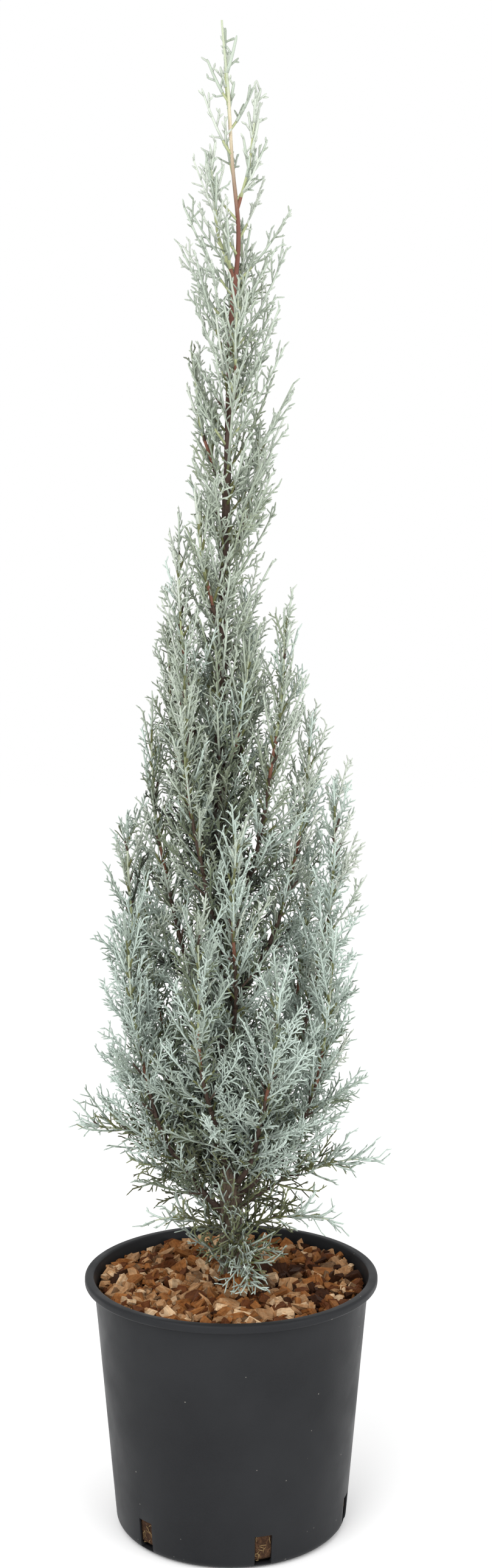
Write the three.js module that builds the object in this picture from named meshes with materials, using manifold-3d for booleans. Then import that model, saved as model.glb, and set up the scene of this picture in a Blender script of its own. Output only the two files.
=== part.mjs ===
// A potted Arizona cypress: a young columnar conifer in a round nursery pot.
// Millimetres, +Z up, with the origin at the middle of the pot's flat underside.
// +X is to the right and -Y is to the front.
import * as THREE from "three";
import { mergeVertices } from "three/addons/utils/BufferGeometryUtils.js";
import Module from "manifold-3d";

const wasm = await Module();
wasm.setup();

// Driving dimensions
const GAP = 0.3; // clearance between pieces that touch on the real plant

const POT = {
  height: 257,
  rimRadius: 150,
  rimInnerRadius: 140.5,
  rimHeight: 8.5,
  rimRound: 2.6,
  shoulderRadius: 140.4,
  baseRadius: 119,
  baseRound: 9,
  wall: 2.2,
  floor: 3,
  sides: 32,
};

const SLOT = { count: 6, firstFacing: 285, width: 17, bottom: 4, top: 34, depth: 24 };

const SOIL = { top: 214, sides: 32, foot: 4 };

const MULCH = { top: 243, sides: 32, chips: 38, chipLength: [17, 30], chipWidth: [9, 15], chipThick: [4, 6] };

const TRUNK = {
  tip: 1502,
  footRadius: 13,
  tipRadius: 1,
  taper: 0.6, // below 1, so that the foot is stout and the top slim
  flare: 5,
  flareHeight: 16,
  sides: 10,
  rings: 24,
  ringCrowding: 1.6, // the rings lie closer together near the flare
};

// The trunk's sway from a plumb line: each bow is centred at a height and dies away over its span.
const SWAY = {
  right: [
    { by: -11, at: 793, span: 260 },
    { by: 8, at: 1295, span: 60 },
    { by: -9, at: 1520, span: 70 },
  ],
  away: [
    { by: 34, at: 214, span: 110 },
    { by: 6, at: 620, span: 180 },
    { by: -5, at: 1080, span: 160 },
  ],
};

const BOUGH = { footRadius: 5, tipRadius: 4.4, sides: 5, rings: 3 };

const STEM = { footRadius: 4.6, tipRadius: 2.4, sides: 4, ringEvery: 60 };

// A spray is drawn larger than life, as a flat fork of three prongs. Its sizes are shares of its length:
// how far along and out the side prongs end, and the notches beside the middle one.
const SPRAY = {
  thick: 3, // in millimetres
  prongs: [
    { side: -1, at: 0.62, out: 0.3 },
    { side: 1, at: 0.8, out: 0.26 },
  ],
  notch: { at: 0.4, out: 0.085 },
  every: 23, // distance between sprays along a stem, in millimetres
  leanAtFoot: 60, // angle between a spray and its stem, in degrees
  leanAtTip: 26,
  shorterAtTip: 0.45,
  lengths: [0.8, 1.1], // shares of the plume's spread
  cuts: [1, 0.85, 0.7, 0.55], // shorter tries where the full length doesn't fit
  goldenAngle: 137.508,
};

// Room kept round a spray, and how near another plume's stem it may come, as a share of its own's.
const SPACE = { room: 0.7, step: 6, nearer: 0.6, aboveChips: 8, aboveRim: 4 };

// How the boughs and foliage of one tier grow. A plume runs from the trunk out to its tip in one bend:
// out and up place the bend, as shares of its reach and rise, and arch lifts it.
// bare is the share of a plume that is a bare bough, and spread the length of its longest sprays.
const TIERS = {
  skirt: { out: 0.55, up: 0.7, arch: 18, bare: 0.3, spread: 58, lift: 0.1 },
  lower: { out: 1, up: 0.33, arch: 0, bare: 0.36, spread: 76, lift: 0.3 },
  middle: { out: 0.95, up: 0.35, arch: 0, bare: 0.32, spread: 68, lift: 0.35 },
  upper: { out: 0.85, up: 0.4, arch: 0, bare: 0, spread: 64, lift: 0.3 },
};

// Where each plume leaves the trunk, the way it faces (0 right, 90 away, 180 left, 270 front),
// how far from the trunk its tip stands and how high it ends.
const PLUMES = [
  { tier: "skirt", base: 312, facing: 356, reach: 134, top: 372, bough: true },
  { tier: "skirt", base: 335, facing: 184, reach: 136, top: 408, bough: true },
  { tier: "skirt", base: 296, facing: 283, reach: 80, top: 258 },
  { tier: "skirt", base: 284, facing: 335, reach: 112, top: 304 },
  { tier: "skirt", base: 280, facing: 212, reach: 94, top: 306 },
  { tier: "skirt", base: 300, facing: 70, reach: 128, top: 352 },
  { tier: "skirt", base: 290, facing: 135, reach: 116, top: 338 },
  { tier: "lower", base: 352, facing: 181, reach: 104, top: 702, bough: true },
  { tier: "lower", base: 306, facing: 205, reach: 112, top: 602, bough: true },
  { tier: "lower", base: 362, facing: 3, reach: 106, top: 735, bough: true },
  { tier: "lower", base: 326, facing: 334, reach: 112, top: 588, bough: true },
  { tier: "lower", base: 340, facing: 298, reach: 96, top: 562, bough: true },
  { tier: "lower", base: 357, facing: 250, reach: 92, top: 612, bough: true },
  { tier: "lower", base: 330, facing: 94, reach: 112, top: 642, bough: true },
  { tier: "lower", base: 342, facing: 42, reach: 110, top: 668, bough: true },
  { tier: "lower", base: 318, facing: 142, reach: 112, top: 652, bough: true },
  { tier: "middle", base: 466, facing: 276, reach: 62, top: 706, bough: true },
  { tier: "middle", base: 496, facing: 172, reach: 78, top: 802, bough: true },
  { tier: "middle", base: 524, facing: 14, reach: 86, top: 806, bough: true },
  { tier: "middle", base: 552, facing: 104, reach: 72, top: 836, bough: true },
  { tier: "middle", base: 582, facing: 230, reach: 62, top: 866, bough: true },
  { tier: "middle", base: 612, facing: 344, reach: 62, top: 912, bough: true },
  { tier: "middle", base: 642, facing: 158, reach: 60, top: 900, bough: true },
  { tier: "middle", base: 676, facing: 62, reach: 50, top: 936, bough: true },
  { tier: "middle", base: 712, facing: 200, reach: 44, top: 990, bough: true },
];

// The upper plumes climb the trunk by the golden angle and shrink towards its tip.
const UPPER = {
  count: 10,
  lowest: 762,
  highest: 1392,
  firstFacing: 320,
  reach: 37,
  rise: 126,
  shrinkTo: 0.32,
  shrinkPower: 3,
};

const COLOURS = {
  pot: { color: 0x37383a, roughness: 0.55 },
  soil: { color: 0x41302a, roughness: 1 },
  mulch: { color: 0x9a6e45, roughness: 0.9 },
  bark: { color: 0x6b4636, roughness: 0.9 },
  foliage: { color: 0x9fb0a6, roughness: 0.75 },
};

// Small helpers
const radians = THREE.MathUtils.degToRad;
const mix = THREE.MathUtils.lerp;

// A seeded stream of numbers from 0 to 1.
function seeded(seed) {
  let state = seed >>> 0;
  return () => {
    state = (state + 0x6d2b79f5) >>> 0;
    let t = Math.imul(state ^ (state >>> 15), state | 1);
    t ^= t + Math.imul(t ^ (t >>> 7), t | 61);
    return ((t ^ (t >>> 14)) >>> 0) / 4294967296;
  };
}

// A closed three.js geometry as a solid that can be joined and cut.
function solidOf(geometry) {
  const bare = geometry.clone();
  bare.deleteAttribute("normal");
  bare.deleteAttribute("uv");
  const merged = mergeVertices(bare, 1e-4);
  return new wasm.Manifold(
    new wasm.Mesh({
      numProp: 3,
      vertProperties: new Float32Array(merged.attributes.position.array),
      triVerts: new Uint32Array(merged.index.array),
    }),
  );
}

function geometryOf(solid) {
  const mesh = solid.getMesh();
  const geometry = new THREE.BufferGeometry();
  geometry.setAttribute("position", new THREE.BufferAttribute(mesh.vertProperties, 3));
  geometry.setIndex(new THREE.BufferAttribute(mesh.triVerts, 1));
  geometry.computeVertexNormals();
  return geometry;
}

// Joins solids, cuts the space of others from them, and keeps the largest body, so that loose scraps
// and sealed hollows are dropped.
function fuse(solids, spaces = []) {
  const joined = solids.reduce((whole, solid) => whole.add(solid));
  const bodies = spaces.reduce((whole, space) => whole.subtract(space), joined).decompose();
  return bodies.reduce((largest, body) => (body.volume() > largest.volume() ? body : largest));
}

// A part of a curve, from share a to share b of its length parameter.
class Stretch extends THREE.Curve {
  constructor(curve, a, b) {
    super();
    this.curve = curve;
    this.a = a;
    this.b = b;
  }

  getPoint(t) {
    return this.curve.getPoint(mix(this.a, this.b, t));
  }
}

// A tapering limb: a many-sided bar bent along a curve, with its radius given along the way.
function limb(curve, radiusAt, sides, rings) {
  const corners = Array.from({ length: sides }, (_, i) => {
    const angle = (2 * Math.PI * i) / sides;
    return new THREE.Vector2(Math.cos(angle), Math.sin(angle));
  });
  const settings = { depth: 1, steps: rings, bevelEnabled: false };
  const geometry = new THREE.ExtrudeGeometry(new THREE.Shape(corners), settings);
  const frames = curve.computeFrenetFrames(rings, false);
  const middles = Array.from({ length: rings + 1 }, (_, i) => curve.getPointAt(i / rings));
  const places = geometry.attributes.position;
  for (let i = 0; i < places.count; i++) {
    const ring = Math.round(places.getZ(i) * rings);
    const radius = radiusAt(ring / rings);
    const place = middles[ring]
      .clone()
      .addScaledVector(frames.normals[ring], radius * places.getX(i))
      .addScaledVector(frames.binormals[ring], radius * places.getY(i));
    places.setXYZ(i, place.x, place.y, place.z);
  }
  return geometry;
}

// Trunk
function bowed(bows, z) {
  return bows.reduce((sum, bow) => sum + bow.by * Math.exp(-(((z - bow.at) / bow.span) ** 2)), 0);
}

function trunkMiddle(z) {
  return new THREE.Vector3(bowed(SWAY.right, z), bowed(SWAY.away, z), z);
}

function trunkRadius(z) {
  const share = THREE.MathUtils.clamp((z - SOIL.top) / (TRUNK.tip - SOIL.top), 0, 1);
  const flare = TRUNK.flare * Math.exp(-(z - SOIL.top) / TRUNK.flareHeight);
  return mix(TRUNK.footRadius, TRUNK.tipRadius, share ** TRUNK.taper) + flare;
}

class TrunkAxis extends THREE.Curve {
  getPoint(t) {
    return trunkMiddle(mix(SOIL.top + GAP, TRUNK.tip, t));
  }
}

// The trunk, or with extra the space it takes with that clearance all round.
function trunkSolid(extra = 0) {
  const axis = new TrunkAxis();
  const geometry = new THREE.CylinderGeometry(1, 1, 1, TRUNK.sides, TRUNK.rings);
  const places = geometry.attributes.position;
  for (let i = 0; i < places.count; i++) {
    const share = 0.5 + places.getY(i);
    const middle = axis.getPoint(share ** TRUNK.ringCrowding);
    const radius = trunkRadius(middle.z) + extra;
    const end = share === 0 ? -extra : share === 1 ? extra : 0;
    places.setXYZ(
      i,
      middle.x + radius * places.getZ(i),
      middle.y + radius * places.getX(i),
      middle.z + end,
    );
  }
  return solidOf(geometry);
}

// Plumes: the line that each bough and its foliage follow
function upperPlumes() {
  return Array.from({ length: UPPER.count }, (_, i) => {
    const share = i / (UPPER.count - 1);
    const size = mix(1, UPPER.shrinkTo, share ** UPPER.shrinkPower);
    const base = mix(UPPER.lowest, UPPER.highest, share);
    return {
      tier: "upper",
      base,
      facing: (UPPER.firstFacing + i * SPRAY.goldenAngle) % 360,
      reach: UPPER.reach * size,
      top: base + UPPER.rise * mix(0.6, 1, size),
      size,
    };
  });
}

function plumeAxis(plume) {
  const tier = TIERS[plume.tier];
  const out = new THREE.Vector3(Math.cos(radians(plume.facing)), Math.sin(radians(plume.facing)), 0);
  const foot = trunkMiddle(plume.base);
  const rise = plume.top - plume.base;
  const bend = foot.clone().addScaledVector(out, tier.out * plume.reach);
  bend.z += tier.up * rise + tier.arch;
  const tip = foot.clone().addScaledVector(out, plume.reach);
  tip.z = plume.top;
  return new THREE.QuadraticBezierCurve3(foot, bend, tip);
}

// Each plume with its line, its own space and, where it has one, its bare bough.
function laidOut() {
  const counts = {};
  return [...PLUMES, ...upperPlumes()].map((plume) => {
    counts[plume.tier] = (counts[plume.tier] ?? 0) + 1;
    const tier = TIERS[plume.tier];
    const axis = plumeAxis(plume);
    const bare = plume.bough ? tier.bare : 0;
    const gapShare = plume.bough ? GAP / axis.getLength() : 0;
    const stem = new Stretch(axis, bare + gapShare, 1);
    return {
      ...plume,
      label: `${plume.tier}_${counts[plume.tier]}`,
      spread: tier.spread * (plume.size ?? 1),
      slim: mix(0.6, 1, plume.size ?? 1),
      lift: tier.lift,
      bough: plume.bough ? new Stretch(axis, 0, bare) : null,
      stem,
      spine: stem.getSpacedPoints(Math.ceil(stem.getLength() / SPACE.step)),
    };
  });
}

function boughRadius(share) {
  return mix(BOUGH.footRadius, BOUGH.tipRadius, share);
}

function boughSolid(plume, trunkSpace) {
  return fuse([solidOf(limb(plume.bough, boughRadius, BOUGH.sides, BOUGH.rings))], [trunkSpace]);
}

// Foliage: what keeps each mass to its own space
function nearest(points, place) {
  return points.reduce((least, point) => Math.min(least, point.distanceTo(place)), Infinity);
}

// Whether a spray's tip stays in its plume's space and clear of the pot and its chips.
function inOwnSpace(tip, plume, plumes) {
  const own = nearest(plume.spine, tip) * SPACE.nearer;
  if (plumes.some((other) => other !== plume && nearest(other.spine, tip) < own)) return false;
  const overPot = Math.hypot(tip.x, tip.y) > POT.rimInnerRadius - 20;
  return tip.z > (overPot ? POT.height + SPACE.aboveRim : MULCH.top + SPACE.aboveChips);
}

function boxesMeet(a, b) {
  return [0, 1, 2].every((i) => a.min[i] < b.max[i] && b.min[i] < a.max[i]);
}

// A solid with its owner, kept so that the sprays of other masses stay off it.
function takenBy(owner, solid) {
  return { owner, solid, box: solid.boundingBox() };
}

function touches(solid, owner, taken) {
  const box = solid.boundingBox();
  return taken.some(
    (other) =>
      other.owner !== owner && boxesMeet(box, other.box) && !solid.intersect(other.solid).isEmpty(),
  );
}

// A flat forked spray that grows from a foot in a direction, rolled about it, with room added all round.
function spray(foot, way, roll, length, room = 0) {
  const across = acrossOf(way).applyAxisAngle(way, roll);
  const wide = (share) => share * length + room;
  const outline = [new THREE.Vector2(0, 0)];
  const [left, right] = SPRAY.prongs;
  outline.push(new THREE.Vector2(-wide(left.out), left.at * length));
  outline.push(new THREE.Vector2(-wide(SPRAY.notch.out), SPRAY.notch.at * length));
  outline.push(new THREE.Vector2(0, length + room));
  outline.push(new THREE.Vector2(wide(SPRAY.notch.out), (SPRAY.notch.at + right.at - left.at) * length));
  outline.push(new THREE.Vector2(wide(right.out), right.at * length));
  const depth = SPRAY.thick + 2 * room;
  const blade = new THREE.ExtrudeGeometry(new THREE.Shape(outline), { depth, bevelEnabled: false });
  blade.translate(0, 0, -depth / 2);
  const place = new THREE.Matrix4().makeBasis(across, way, across.clone().cross(way)).setPosition(foot);
  return solidOf(blade.applyMatrix4(place));
}

// A direction that leans away from an axis, turned about it.
function leaning(axis, across, lean, turn) {
  return axis
    .clone()
    .multiplyScalar(Math.cos(lean))
    .addScaledVector(across.clone().applyAxisAngle(axis, turn), Math.sin(lean));
}

function acrossOf(axis) {
  const other = Math.abs(axis.z) > 0.9 ? new THREE.Vector3(1, 0, 0) : new THREE.Vector3(0, 0, 1);
  return other.cross(axis).normalize();
}

function stemRadius(plume, share) {
  return mix(STEM.footRadius, STEM.tipRadius, share) * plume.slim;
}

function stemSolid(plume, trunkSpace) {
  const rings = Math.max(2, Math.round(plume.stem.getLength() / STEM.ringEvery));
  const bar = limb(plume.stem, (share) => stemRadius(plume, share), STEM.sides, rings);
  return fuse([solidOf(bar)], [trunkSpace]);
}

// One mass of foliage: a stem with sprays set round it by the golden angle.
function foliageSolid(plume, index, stem, plumes, taken) {
  const random = seeded(index + 1);
  const pieces = [stem];
  const count = Math.round(plume.stem.getLength() / (SPRAY.every * plume.slim));
  for (let k = 0; k < count; k++) {
    const share = (k + 0.7) / count;
    const foot = plume.stem.getPointAt(share);
    const along = plume.stem.getTangentAt(share);
    const lean = radians(mix(SPRAY.leanAtFoot, SPRAY.leanAtTip, share) + 20 * (random() - 0.5));
    const turn = radians(k * SPRAY.goldenAngle + 50 * random());
    const way = leaning(along, acrossOf(along), lean, turn);
    way.z += plume.lift;
    way.normalize();
    const full = plume.spread * (1 - SPRAY.shorterAtTip * share) * mix(...SPRAY.lengths, random());
    const roll = Math.PI * random();
    const length = SPRAY.cuts
      .map((cut) => cut * full)
      .find(
        (size) =>
          inOwnSpace(foot.clone().addScaledVector(way, size), plume, plumes) &&
          !touches(spray(foot, way, roll, size, SPACE.room), plume, taken),
      );
    if (length) pieces.push(spray(foot, way, roll, length));
  }
  return fuse(pieces);
}

// Pot, soil and mulch
function arc(points, middleX, middleY, radius, from, to, steps) {
  for (let i = 0; i <= steps; i++) {
    const angle = radians(mix(from, to, i / steps));
    points.push(new THREE.Vector2(middleX + radius * Math.cos(angle), middleY + radius * Math.sin(angle)));
  }
}

// The radius of the pot's outer wall at a height.
function wallRadius(z) {
  const share = (z - POT.baseRound) / (POT.height - POT.rimHeight - POT.baseRound);
  return mix(POT.baseRadius, POT.shoulderRadius, share);
}

function potSolid() {
  const outline = [new THREE.Vector2(0, 0)];
  arc(outline, POT.baseRadius - POT.baseRound, POT.baseRound, POT.baseRound, -90, 0, 3);
  const underRim = POT.height - POT.rimHeight;
  outline.push(new THREE.Vector2(POT.shoulderRadius, underRim));
  outline.push(new THREE.Vector2(POT.rimRadius - 1.5, underRim + 2));
  arc(outline, POT.rimRadius - POT.rimRound, POT.height - POT.rimRound, POT.rimRound, 0, 90, 3);
  outline.push(new THREE.Vector2(POT.rimInnerRadius + 2, POT.height));
  outline.push(new THREE.Vector2(POT.rimInnerRadius, POT.height - 1.5));
  outline.push(new THREE.Vector2(POT.shoulderRadius - POT.wall, underRim - 1));
  outline.push(new THREE.Vector2(wallRadius(POT.floor + 6) - POT.wall, POT.floor + 6));
  outline.push(new THREE.Vector2(wallRadius(POT.floor) - POT.wall - 6, POT.floor));
  outline.push(new THREE.Vector2(0, POT.floor));
  const shell = solidOf(new THREE.LatheGeometry(outline, POT.sides).rotateX(Math.PI / 2));
  return fuse([shell], slots());
}

// The drainage windows round the foot of the wall.
function slots() {
  return Array.from({ length: SLOT.count }, (_, i) => {
    const facing = radians(SLOT.firstFacing + (i * 360) / SLOT.count);
    const box = new THREE.BoxGeometry(SLOT.depth, SLOT.width, SLOT.top - SLOT.bottom);
    box.translate(POT.baseRadius, 0, (SLOT.top + SLOT.bottom) / 2);
    return solidOf(box.rotateZ(facing));
  });
}

// A round filling of the pot between two heights.
function filling(bottom, top, sides, foot) {
  const inside = (z) => wallRadius(z) - POT.wall - 2 * GAP;
  const outline = [
    new THREE.Vector2(0, bottom),
    new THREE.Vector2(inside(bottom) - foot, bottom),
    new THREE.Vector2(inside(bottom + foot), bottom + foot),
    new THREE.Vector2(inside(top) - 1, top),
    new THREE.Vector2(0, top),
  ];
  return solidOf(new THREE.LatheGeometry(outline, sides).rotateX(Math.PI / 2));
}

function soilSolid() {
  return filling(POT.floor + GAP, SOIL.top, SOIL.sides, SOIL.foot + 6);
}

// The layer of wood chips, with the uppermost chips half sunk in it by a sunflower rule.
function mulchSolid(trunkSpace) {
  const random = seeded(7);
  const bed = filling(SOIL.top + GAP, MULCH.top, MULCH.sides, 0);
  const pick = (range) => mix(range[0], range[1], random());
  const furthest = wallRadius(MULCH.top) - POT.wall - 16;
  const chips = Array.from({ length: MULCH.chips }, (_, i) => {
    const box = new THREE.BoxGeometry(pick(MULCH.chipLength), pick(MULCH.chipWidth), pick(MULCH.chipThick));
    box.rotateX(0.7 * (random() - 0.5)).rotateY(0.5 * (random() - 0.5));
    box.rotateZ(Math.PI * random());
    const radius = furthest * Math.sqrt((i + 0.5) / MULCH.chips);
    const angle = radians(i * SPRAY.goldenAngle);
    return solidOf(box.translate(radius * Math.cos(angle), radius * Math.sin(angle), MULCH.top + 1));
  });
  return fuse([bed, ...chips], [trunkSpace]);
}

// The whole plant
function piece(name, solid, look) {
  const mesh = new THREE.Mesh(geometryOf(solid), new THREE.MeshStandardMaterial({ metalness: 0, ...look }));
  mesh.name = name;
  return mesh;
}

function pottedCypress() {
  const plant = new THREE.Group();
  const trunk = trunkSolid();
  const trunkSpace = trunkSolid(GAP);
  plant.add(piece("pot", potSolid(), COLOURS.pot));
  plant.add(piece("soil", soilSolid(), COLOURS.soil));
  plant.add(piece("mulch", mulchSolid(trunkSpace), COLOURS.mulch));
  plant.add(piece("trunk", trunk, COLOURS.bark));
  const plumes = laidOut();
  const boughs = plumes.filter((plume) => plume.bough).map((plume) => boughSolid(plume, trunkSpace));
  const stems = plumes.map((plume) => stemSolid(plume, trunkSpace));
  const taken = [
    takenBy(null, trunk),
    ...boughs.map((bough) => takenBy(null, bough)),
    ...stems.map((stem, i) => takenBy(plumes[i], stem)),
  ];
  plumes.forEach((plume, i) => {
    if (plume.bough) plant.add(piece(`bough_${plume.label}`, boughs.shift(), COLOURS.bark));
    const mass = foliageSolid(plume, i, stems[i], plumes, taken);
    taken.push(takenBy(plume, mass));
    plant.add(piece(`foliage_${plume.label}`, mass, COLOURS.foliage));
  });
  return plant;
}

export default pottedCypress();
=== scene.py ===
"""A potted Arizona cypress: the looks of the pot, its wood chips, the bark and the foliage.

Everything is in metres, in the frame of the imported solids: +Z up, -Y to the front, with the origin
at the middle of the pot's underside.
"""

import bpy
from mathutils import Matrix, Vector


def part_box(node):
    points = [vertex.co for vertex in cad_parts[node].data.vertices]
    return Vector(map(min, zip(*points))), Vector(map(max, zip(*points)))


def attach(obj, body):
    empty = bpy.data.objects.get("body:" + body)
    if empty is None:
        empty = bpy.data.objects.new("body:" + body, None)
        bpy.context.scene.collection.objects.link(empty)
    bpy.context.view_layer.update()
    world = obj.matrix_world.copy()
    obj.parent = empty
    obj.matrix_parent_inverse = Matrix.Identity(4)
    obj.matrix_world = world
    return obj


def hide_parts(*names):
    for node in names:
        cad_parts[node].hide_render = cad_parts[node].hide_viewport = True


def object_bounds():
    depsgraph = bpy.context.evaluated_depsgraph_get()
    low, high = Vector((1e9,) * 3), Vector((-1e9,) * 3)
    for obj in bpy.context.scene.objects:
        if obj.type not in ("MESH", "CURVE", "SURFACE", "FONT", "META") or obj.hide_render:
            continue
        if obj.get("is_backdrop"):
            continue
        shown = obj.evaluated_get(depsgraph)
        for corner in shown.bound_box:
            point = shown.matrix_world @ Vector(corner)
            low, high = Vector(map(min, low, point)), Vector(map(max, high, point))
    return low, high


bl_info = {
    "name": "Potted Arizona Cypress",
    "version": (1, 0, 0),
    "blender": (4, 5, 0),
    "location": "3D View > Sidebar > Cypress",
    "description": "Models a young columnar cypress in its nursery pot",
    "category": "Add Mesh",
}

import math
import random
from typing import NamedTuple

import bmesh
import bpy
import numpy as np
from bpy.props import FloatProperty, FloatVectorProperty, IntProperty, PointerProperty
from mathutils import Matrix, Vector, noise

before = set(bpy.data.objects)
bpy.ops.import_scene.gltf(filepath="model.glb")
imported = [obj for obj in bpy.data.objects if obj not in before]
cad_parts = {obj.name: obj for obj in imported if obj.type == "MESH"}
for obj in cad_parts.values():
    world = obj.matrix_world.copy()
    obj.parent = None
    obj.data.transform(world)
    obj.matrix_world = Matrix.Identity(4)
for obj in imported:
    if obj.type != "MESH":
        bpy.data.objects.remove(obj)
CAD_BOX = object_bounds()

MM = 0.001
UP = Vector((0, 0, 1))
BODY = "root"
GOLDEN_ANGLE = math.radians(137.508)
# A direction whose rise is more than this share of it counts as steep
STEEP = 0.9
POT_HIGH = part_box("pot")[1]
SOIL_LOW, SOIL_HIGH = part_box("soil")
MULCH_LOW, MULCH_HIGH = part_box("mulch")
TRUNK_LOW, TRUNK_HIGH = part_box("trunk")


def paint(red, green, blue):
    """A colour as it looks on a screen, from 0 to 255, as the linear values that shaders use."""
    shares = [value / 255 for value in (red, green, blue)]
    return tuple(s / 12.92 if s <= 0.04045 else ((s + 0.055) / 1.055) ** 2.4 for s in shares)


def colour(name, description, *screen):
    """A colour that a user may change."""
    return FloatVectorProperty(
        name=name, description=description, subtype="COLOR", size=3, min=0, max=1, default=paint(*screen)
    )


def number(name, description, default, **limits):
    """A number that a user may change."""
    return FloatProperty(name=name, description=description, default=default, **limits)


def length(name, description, default):
    """A length that a user may change."""
    return number(name, description, default, min=0, unit="LENGTH")


def amount(name, description, default):
    """A count that a user may change."""
    return IntProperty(name=name, description=description, default=default, min=0)


# Settings
class PotSettings(bpy.types.PropertyGroup):
    """Sizes of the pot"""

    height: length("Height", "From the ground to the top of the rim", POT_HIGH.z)
    rim_radius: length("Rim radius", "Outer radius of the rolled rim", POT_HIGH.y)
    rim_inner_radius: length("Mouth radius", "Inner radius of the rim", 140.5 * MM)
    rim_height: length("Rim height", "How far the rim reaches down the wall", 8.5 * MM)
    rim_round: length("Rim rounding", "Radius of the rim's outer edges", 2.6 * MM)
    lip_round: length("Lip rounding", "Radius of the rim's inner edge", 2.5 * MM)
    shoulder_radius: length("Shoulder radius", "Radius of the wall under the rim", 140.4 * MM)
    hollow: length("Hollow", "Radius of the curve between the wall and the rim", 2.5 * MM)
    base_radius: length("Base radius", "Radius of the wall above the rounded foot", 119 * MM)
    base_round: length("Foot rounding", "Radius of the foot's edge", 9 * MM)
    wall: length("Wall", "Thickness of the wall", 2.2 * MM)
    floor: length("Floor", "Thickness of the floor", 3 * MM)
    window_bottom: length("Window foot", "Where a drainage window begins", 4 * MM)
    window_top: length("Window top", "Where a drainage window ends", 34 * MM)
    plastic: colour("Plastic", "Charcoal plastic", 28, 29, 31)
    plastic_worn: colour("Worn plastic", "Plastic that has faded a little", 37, 38, 40)
    dust: colour("Dust", "Pale specks and scuffs on the plastic", 118, 115, 110)


class FillingSettings(bpy.types.PropertyGroup):
    """Sizes and colours of the potting mix and the wood chips"""

    chips: amount("Chips", "How many wood chips cover the mix", 2190)
    chip_length: length("Chip length", "Length of a usual chip along its grain", 16.5 * MM)
    chip_width: length("Chip width", "Width of a usual chip", 11.5 * MM)
    chip_thickness: length("Chip thickness", "Thickness of a usual chip", 5.2 * MM)
    bed_top: length("Bed top", "Where the chips' bed lies", 236 * MM)
    highest: length("Highest chip", "No chip stands higher than this", 256 * MM)
    fibres: amount("Fibres", "Straw fibres in each window", 13)
    # The dark mix is damp mix in patches and painted shade in the mix's hollows
    mix_dark: colour("Dark mix", "Damp potting mix", 50, 33, 22)
    mix_light: colour("Light mix", "Dry potting mix", 102, 74, 52)
    straw: colour("Straw", "Fibres in the mix", 126, 104, 70)
    # The dark bed is painted shade between the chips
    bed_dark: colour("Dark bed", "Shade between the chips", 18, 9, 4)
    bed_light: colour("Light bed", "Crumbs between the chips", 42, 24, 13)
    amber: colour("Amber chips", "Fresh resinous wood", 146, 96, 53)
    tan: colour("Tan chips", "Dry wood", 172, 133, 95)
    pale: colour("Pale chips", "Sapwood", 212, 180, 143)
    russet: colour("Russet chips", "Reddish wood", 97, 57, 31)
    umber: colour("Umber chips", "Damp wood", 60, 36, 22)
    grey: colour("Grey chips", "Weathered wood", 116, 89, 64)


class CrownSettings(bpy.types.PropertyGroup):
    """How the limbs and the foliage grow"""

    spray_spacing: length("Spray spacing", "Distance between sprays along a stem", 8.5 * MM)
    twig_share: number("Twigs", "Share of a spray's side shoots that bear branchlets", 0.34, min=0, max=1)
    relief: length("Bark relief", "How deep the bark's furrows are", 0.7 * MM)
    bough_radius: length("Bough radius", "Radius of a bough where it leaves the trunk", 3.6 * MM)
    stem_radius: length("Stem radius", "Radius of a stem where its foliage begins", 2.4 * MM)
    tip_radius: length("Tip radius", "Radius of a stem at its tip", 1.1 * MM)


class CrownColours(bpy.types.PropertyGroup):
    """Colours of the bark and the foliage"""

    foot_bark: colour("Old bark", "Grey bark at the foot of the trunk", 104, 90, 74)
    bark: colour("Bark", "Reddish bark of the trunk", 70, 51, 42)
    young_bark: colour("Young bark", "Reddish bark near the leader", 112, 69, 57)
    leader: colour("Leader", "The pale top of the trunk", 198, 186, 160)
    furrow: colour("Furrows", "Shade in the bark's furrows", 44, 31, 25)
    brown: colour("Brown stems", "Stems near the boughs", 68, 52, 43)
    russet: colour("Russet stems", "Ripening stems", 116, 76, 60)
    olive: colour("Olive stems", "Thin stems inside the crown", 95, 98, 60)
    green: colour("Green stems", "This year's stems", 160, 167, 126)
    # The moss and shade tones are partly the greener old foliage inside the crown and partly painted shade
    # there; the low ones are darkest as deeper painted shade
    low_frost: colour("Low frost", "Brightest sprays low in the crown", 184, 198, 189)
    low_silver: colour("Low silver", "Pale sprays low in the crown", 171, 185, 175)
    low_sage: colour("Low sage", "Usual sprays low in the crown", 152, 165, 153)
    low_moss: colour("Low moss", "Greener sprays low in the crown", 100, 111, 86)
    low_shade: colour("Low shade", "Inner sprays low in the crown", 36, 42, 25)
    skirt_moss: colour("Skirt moss", "Greener sprays over the pot", 114, 121, 84)
    skirt_shade: colour("Skirt shade", "Inner sprays over the pot", 69, 73, 38)
    high_frost: colour("High frost", "Brightest sprays high in the crown", 184, 191, 179)
    high_silver: colour("High silver", "Pale sprays high in the crown", 170, 180, 166)
    high_sage: colour("High sage", "Usual sprays high in the crown", 156, 166, 150)
    high_moss: colour("High moss", "Greener sprays high in the crown", 135, 145, 123)
    high_shade: colour("High shade", "Inner sprays high in the crown", 96, 103, 82)
    tip: colour("Tips", "The youngest stems, at the tips", 172, 180, 156)


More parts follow.
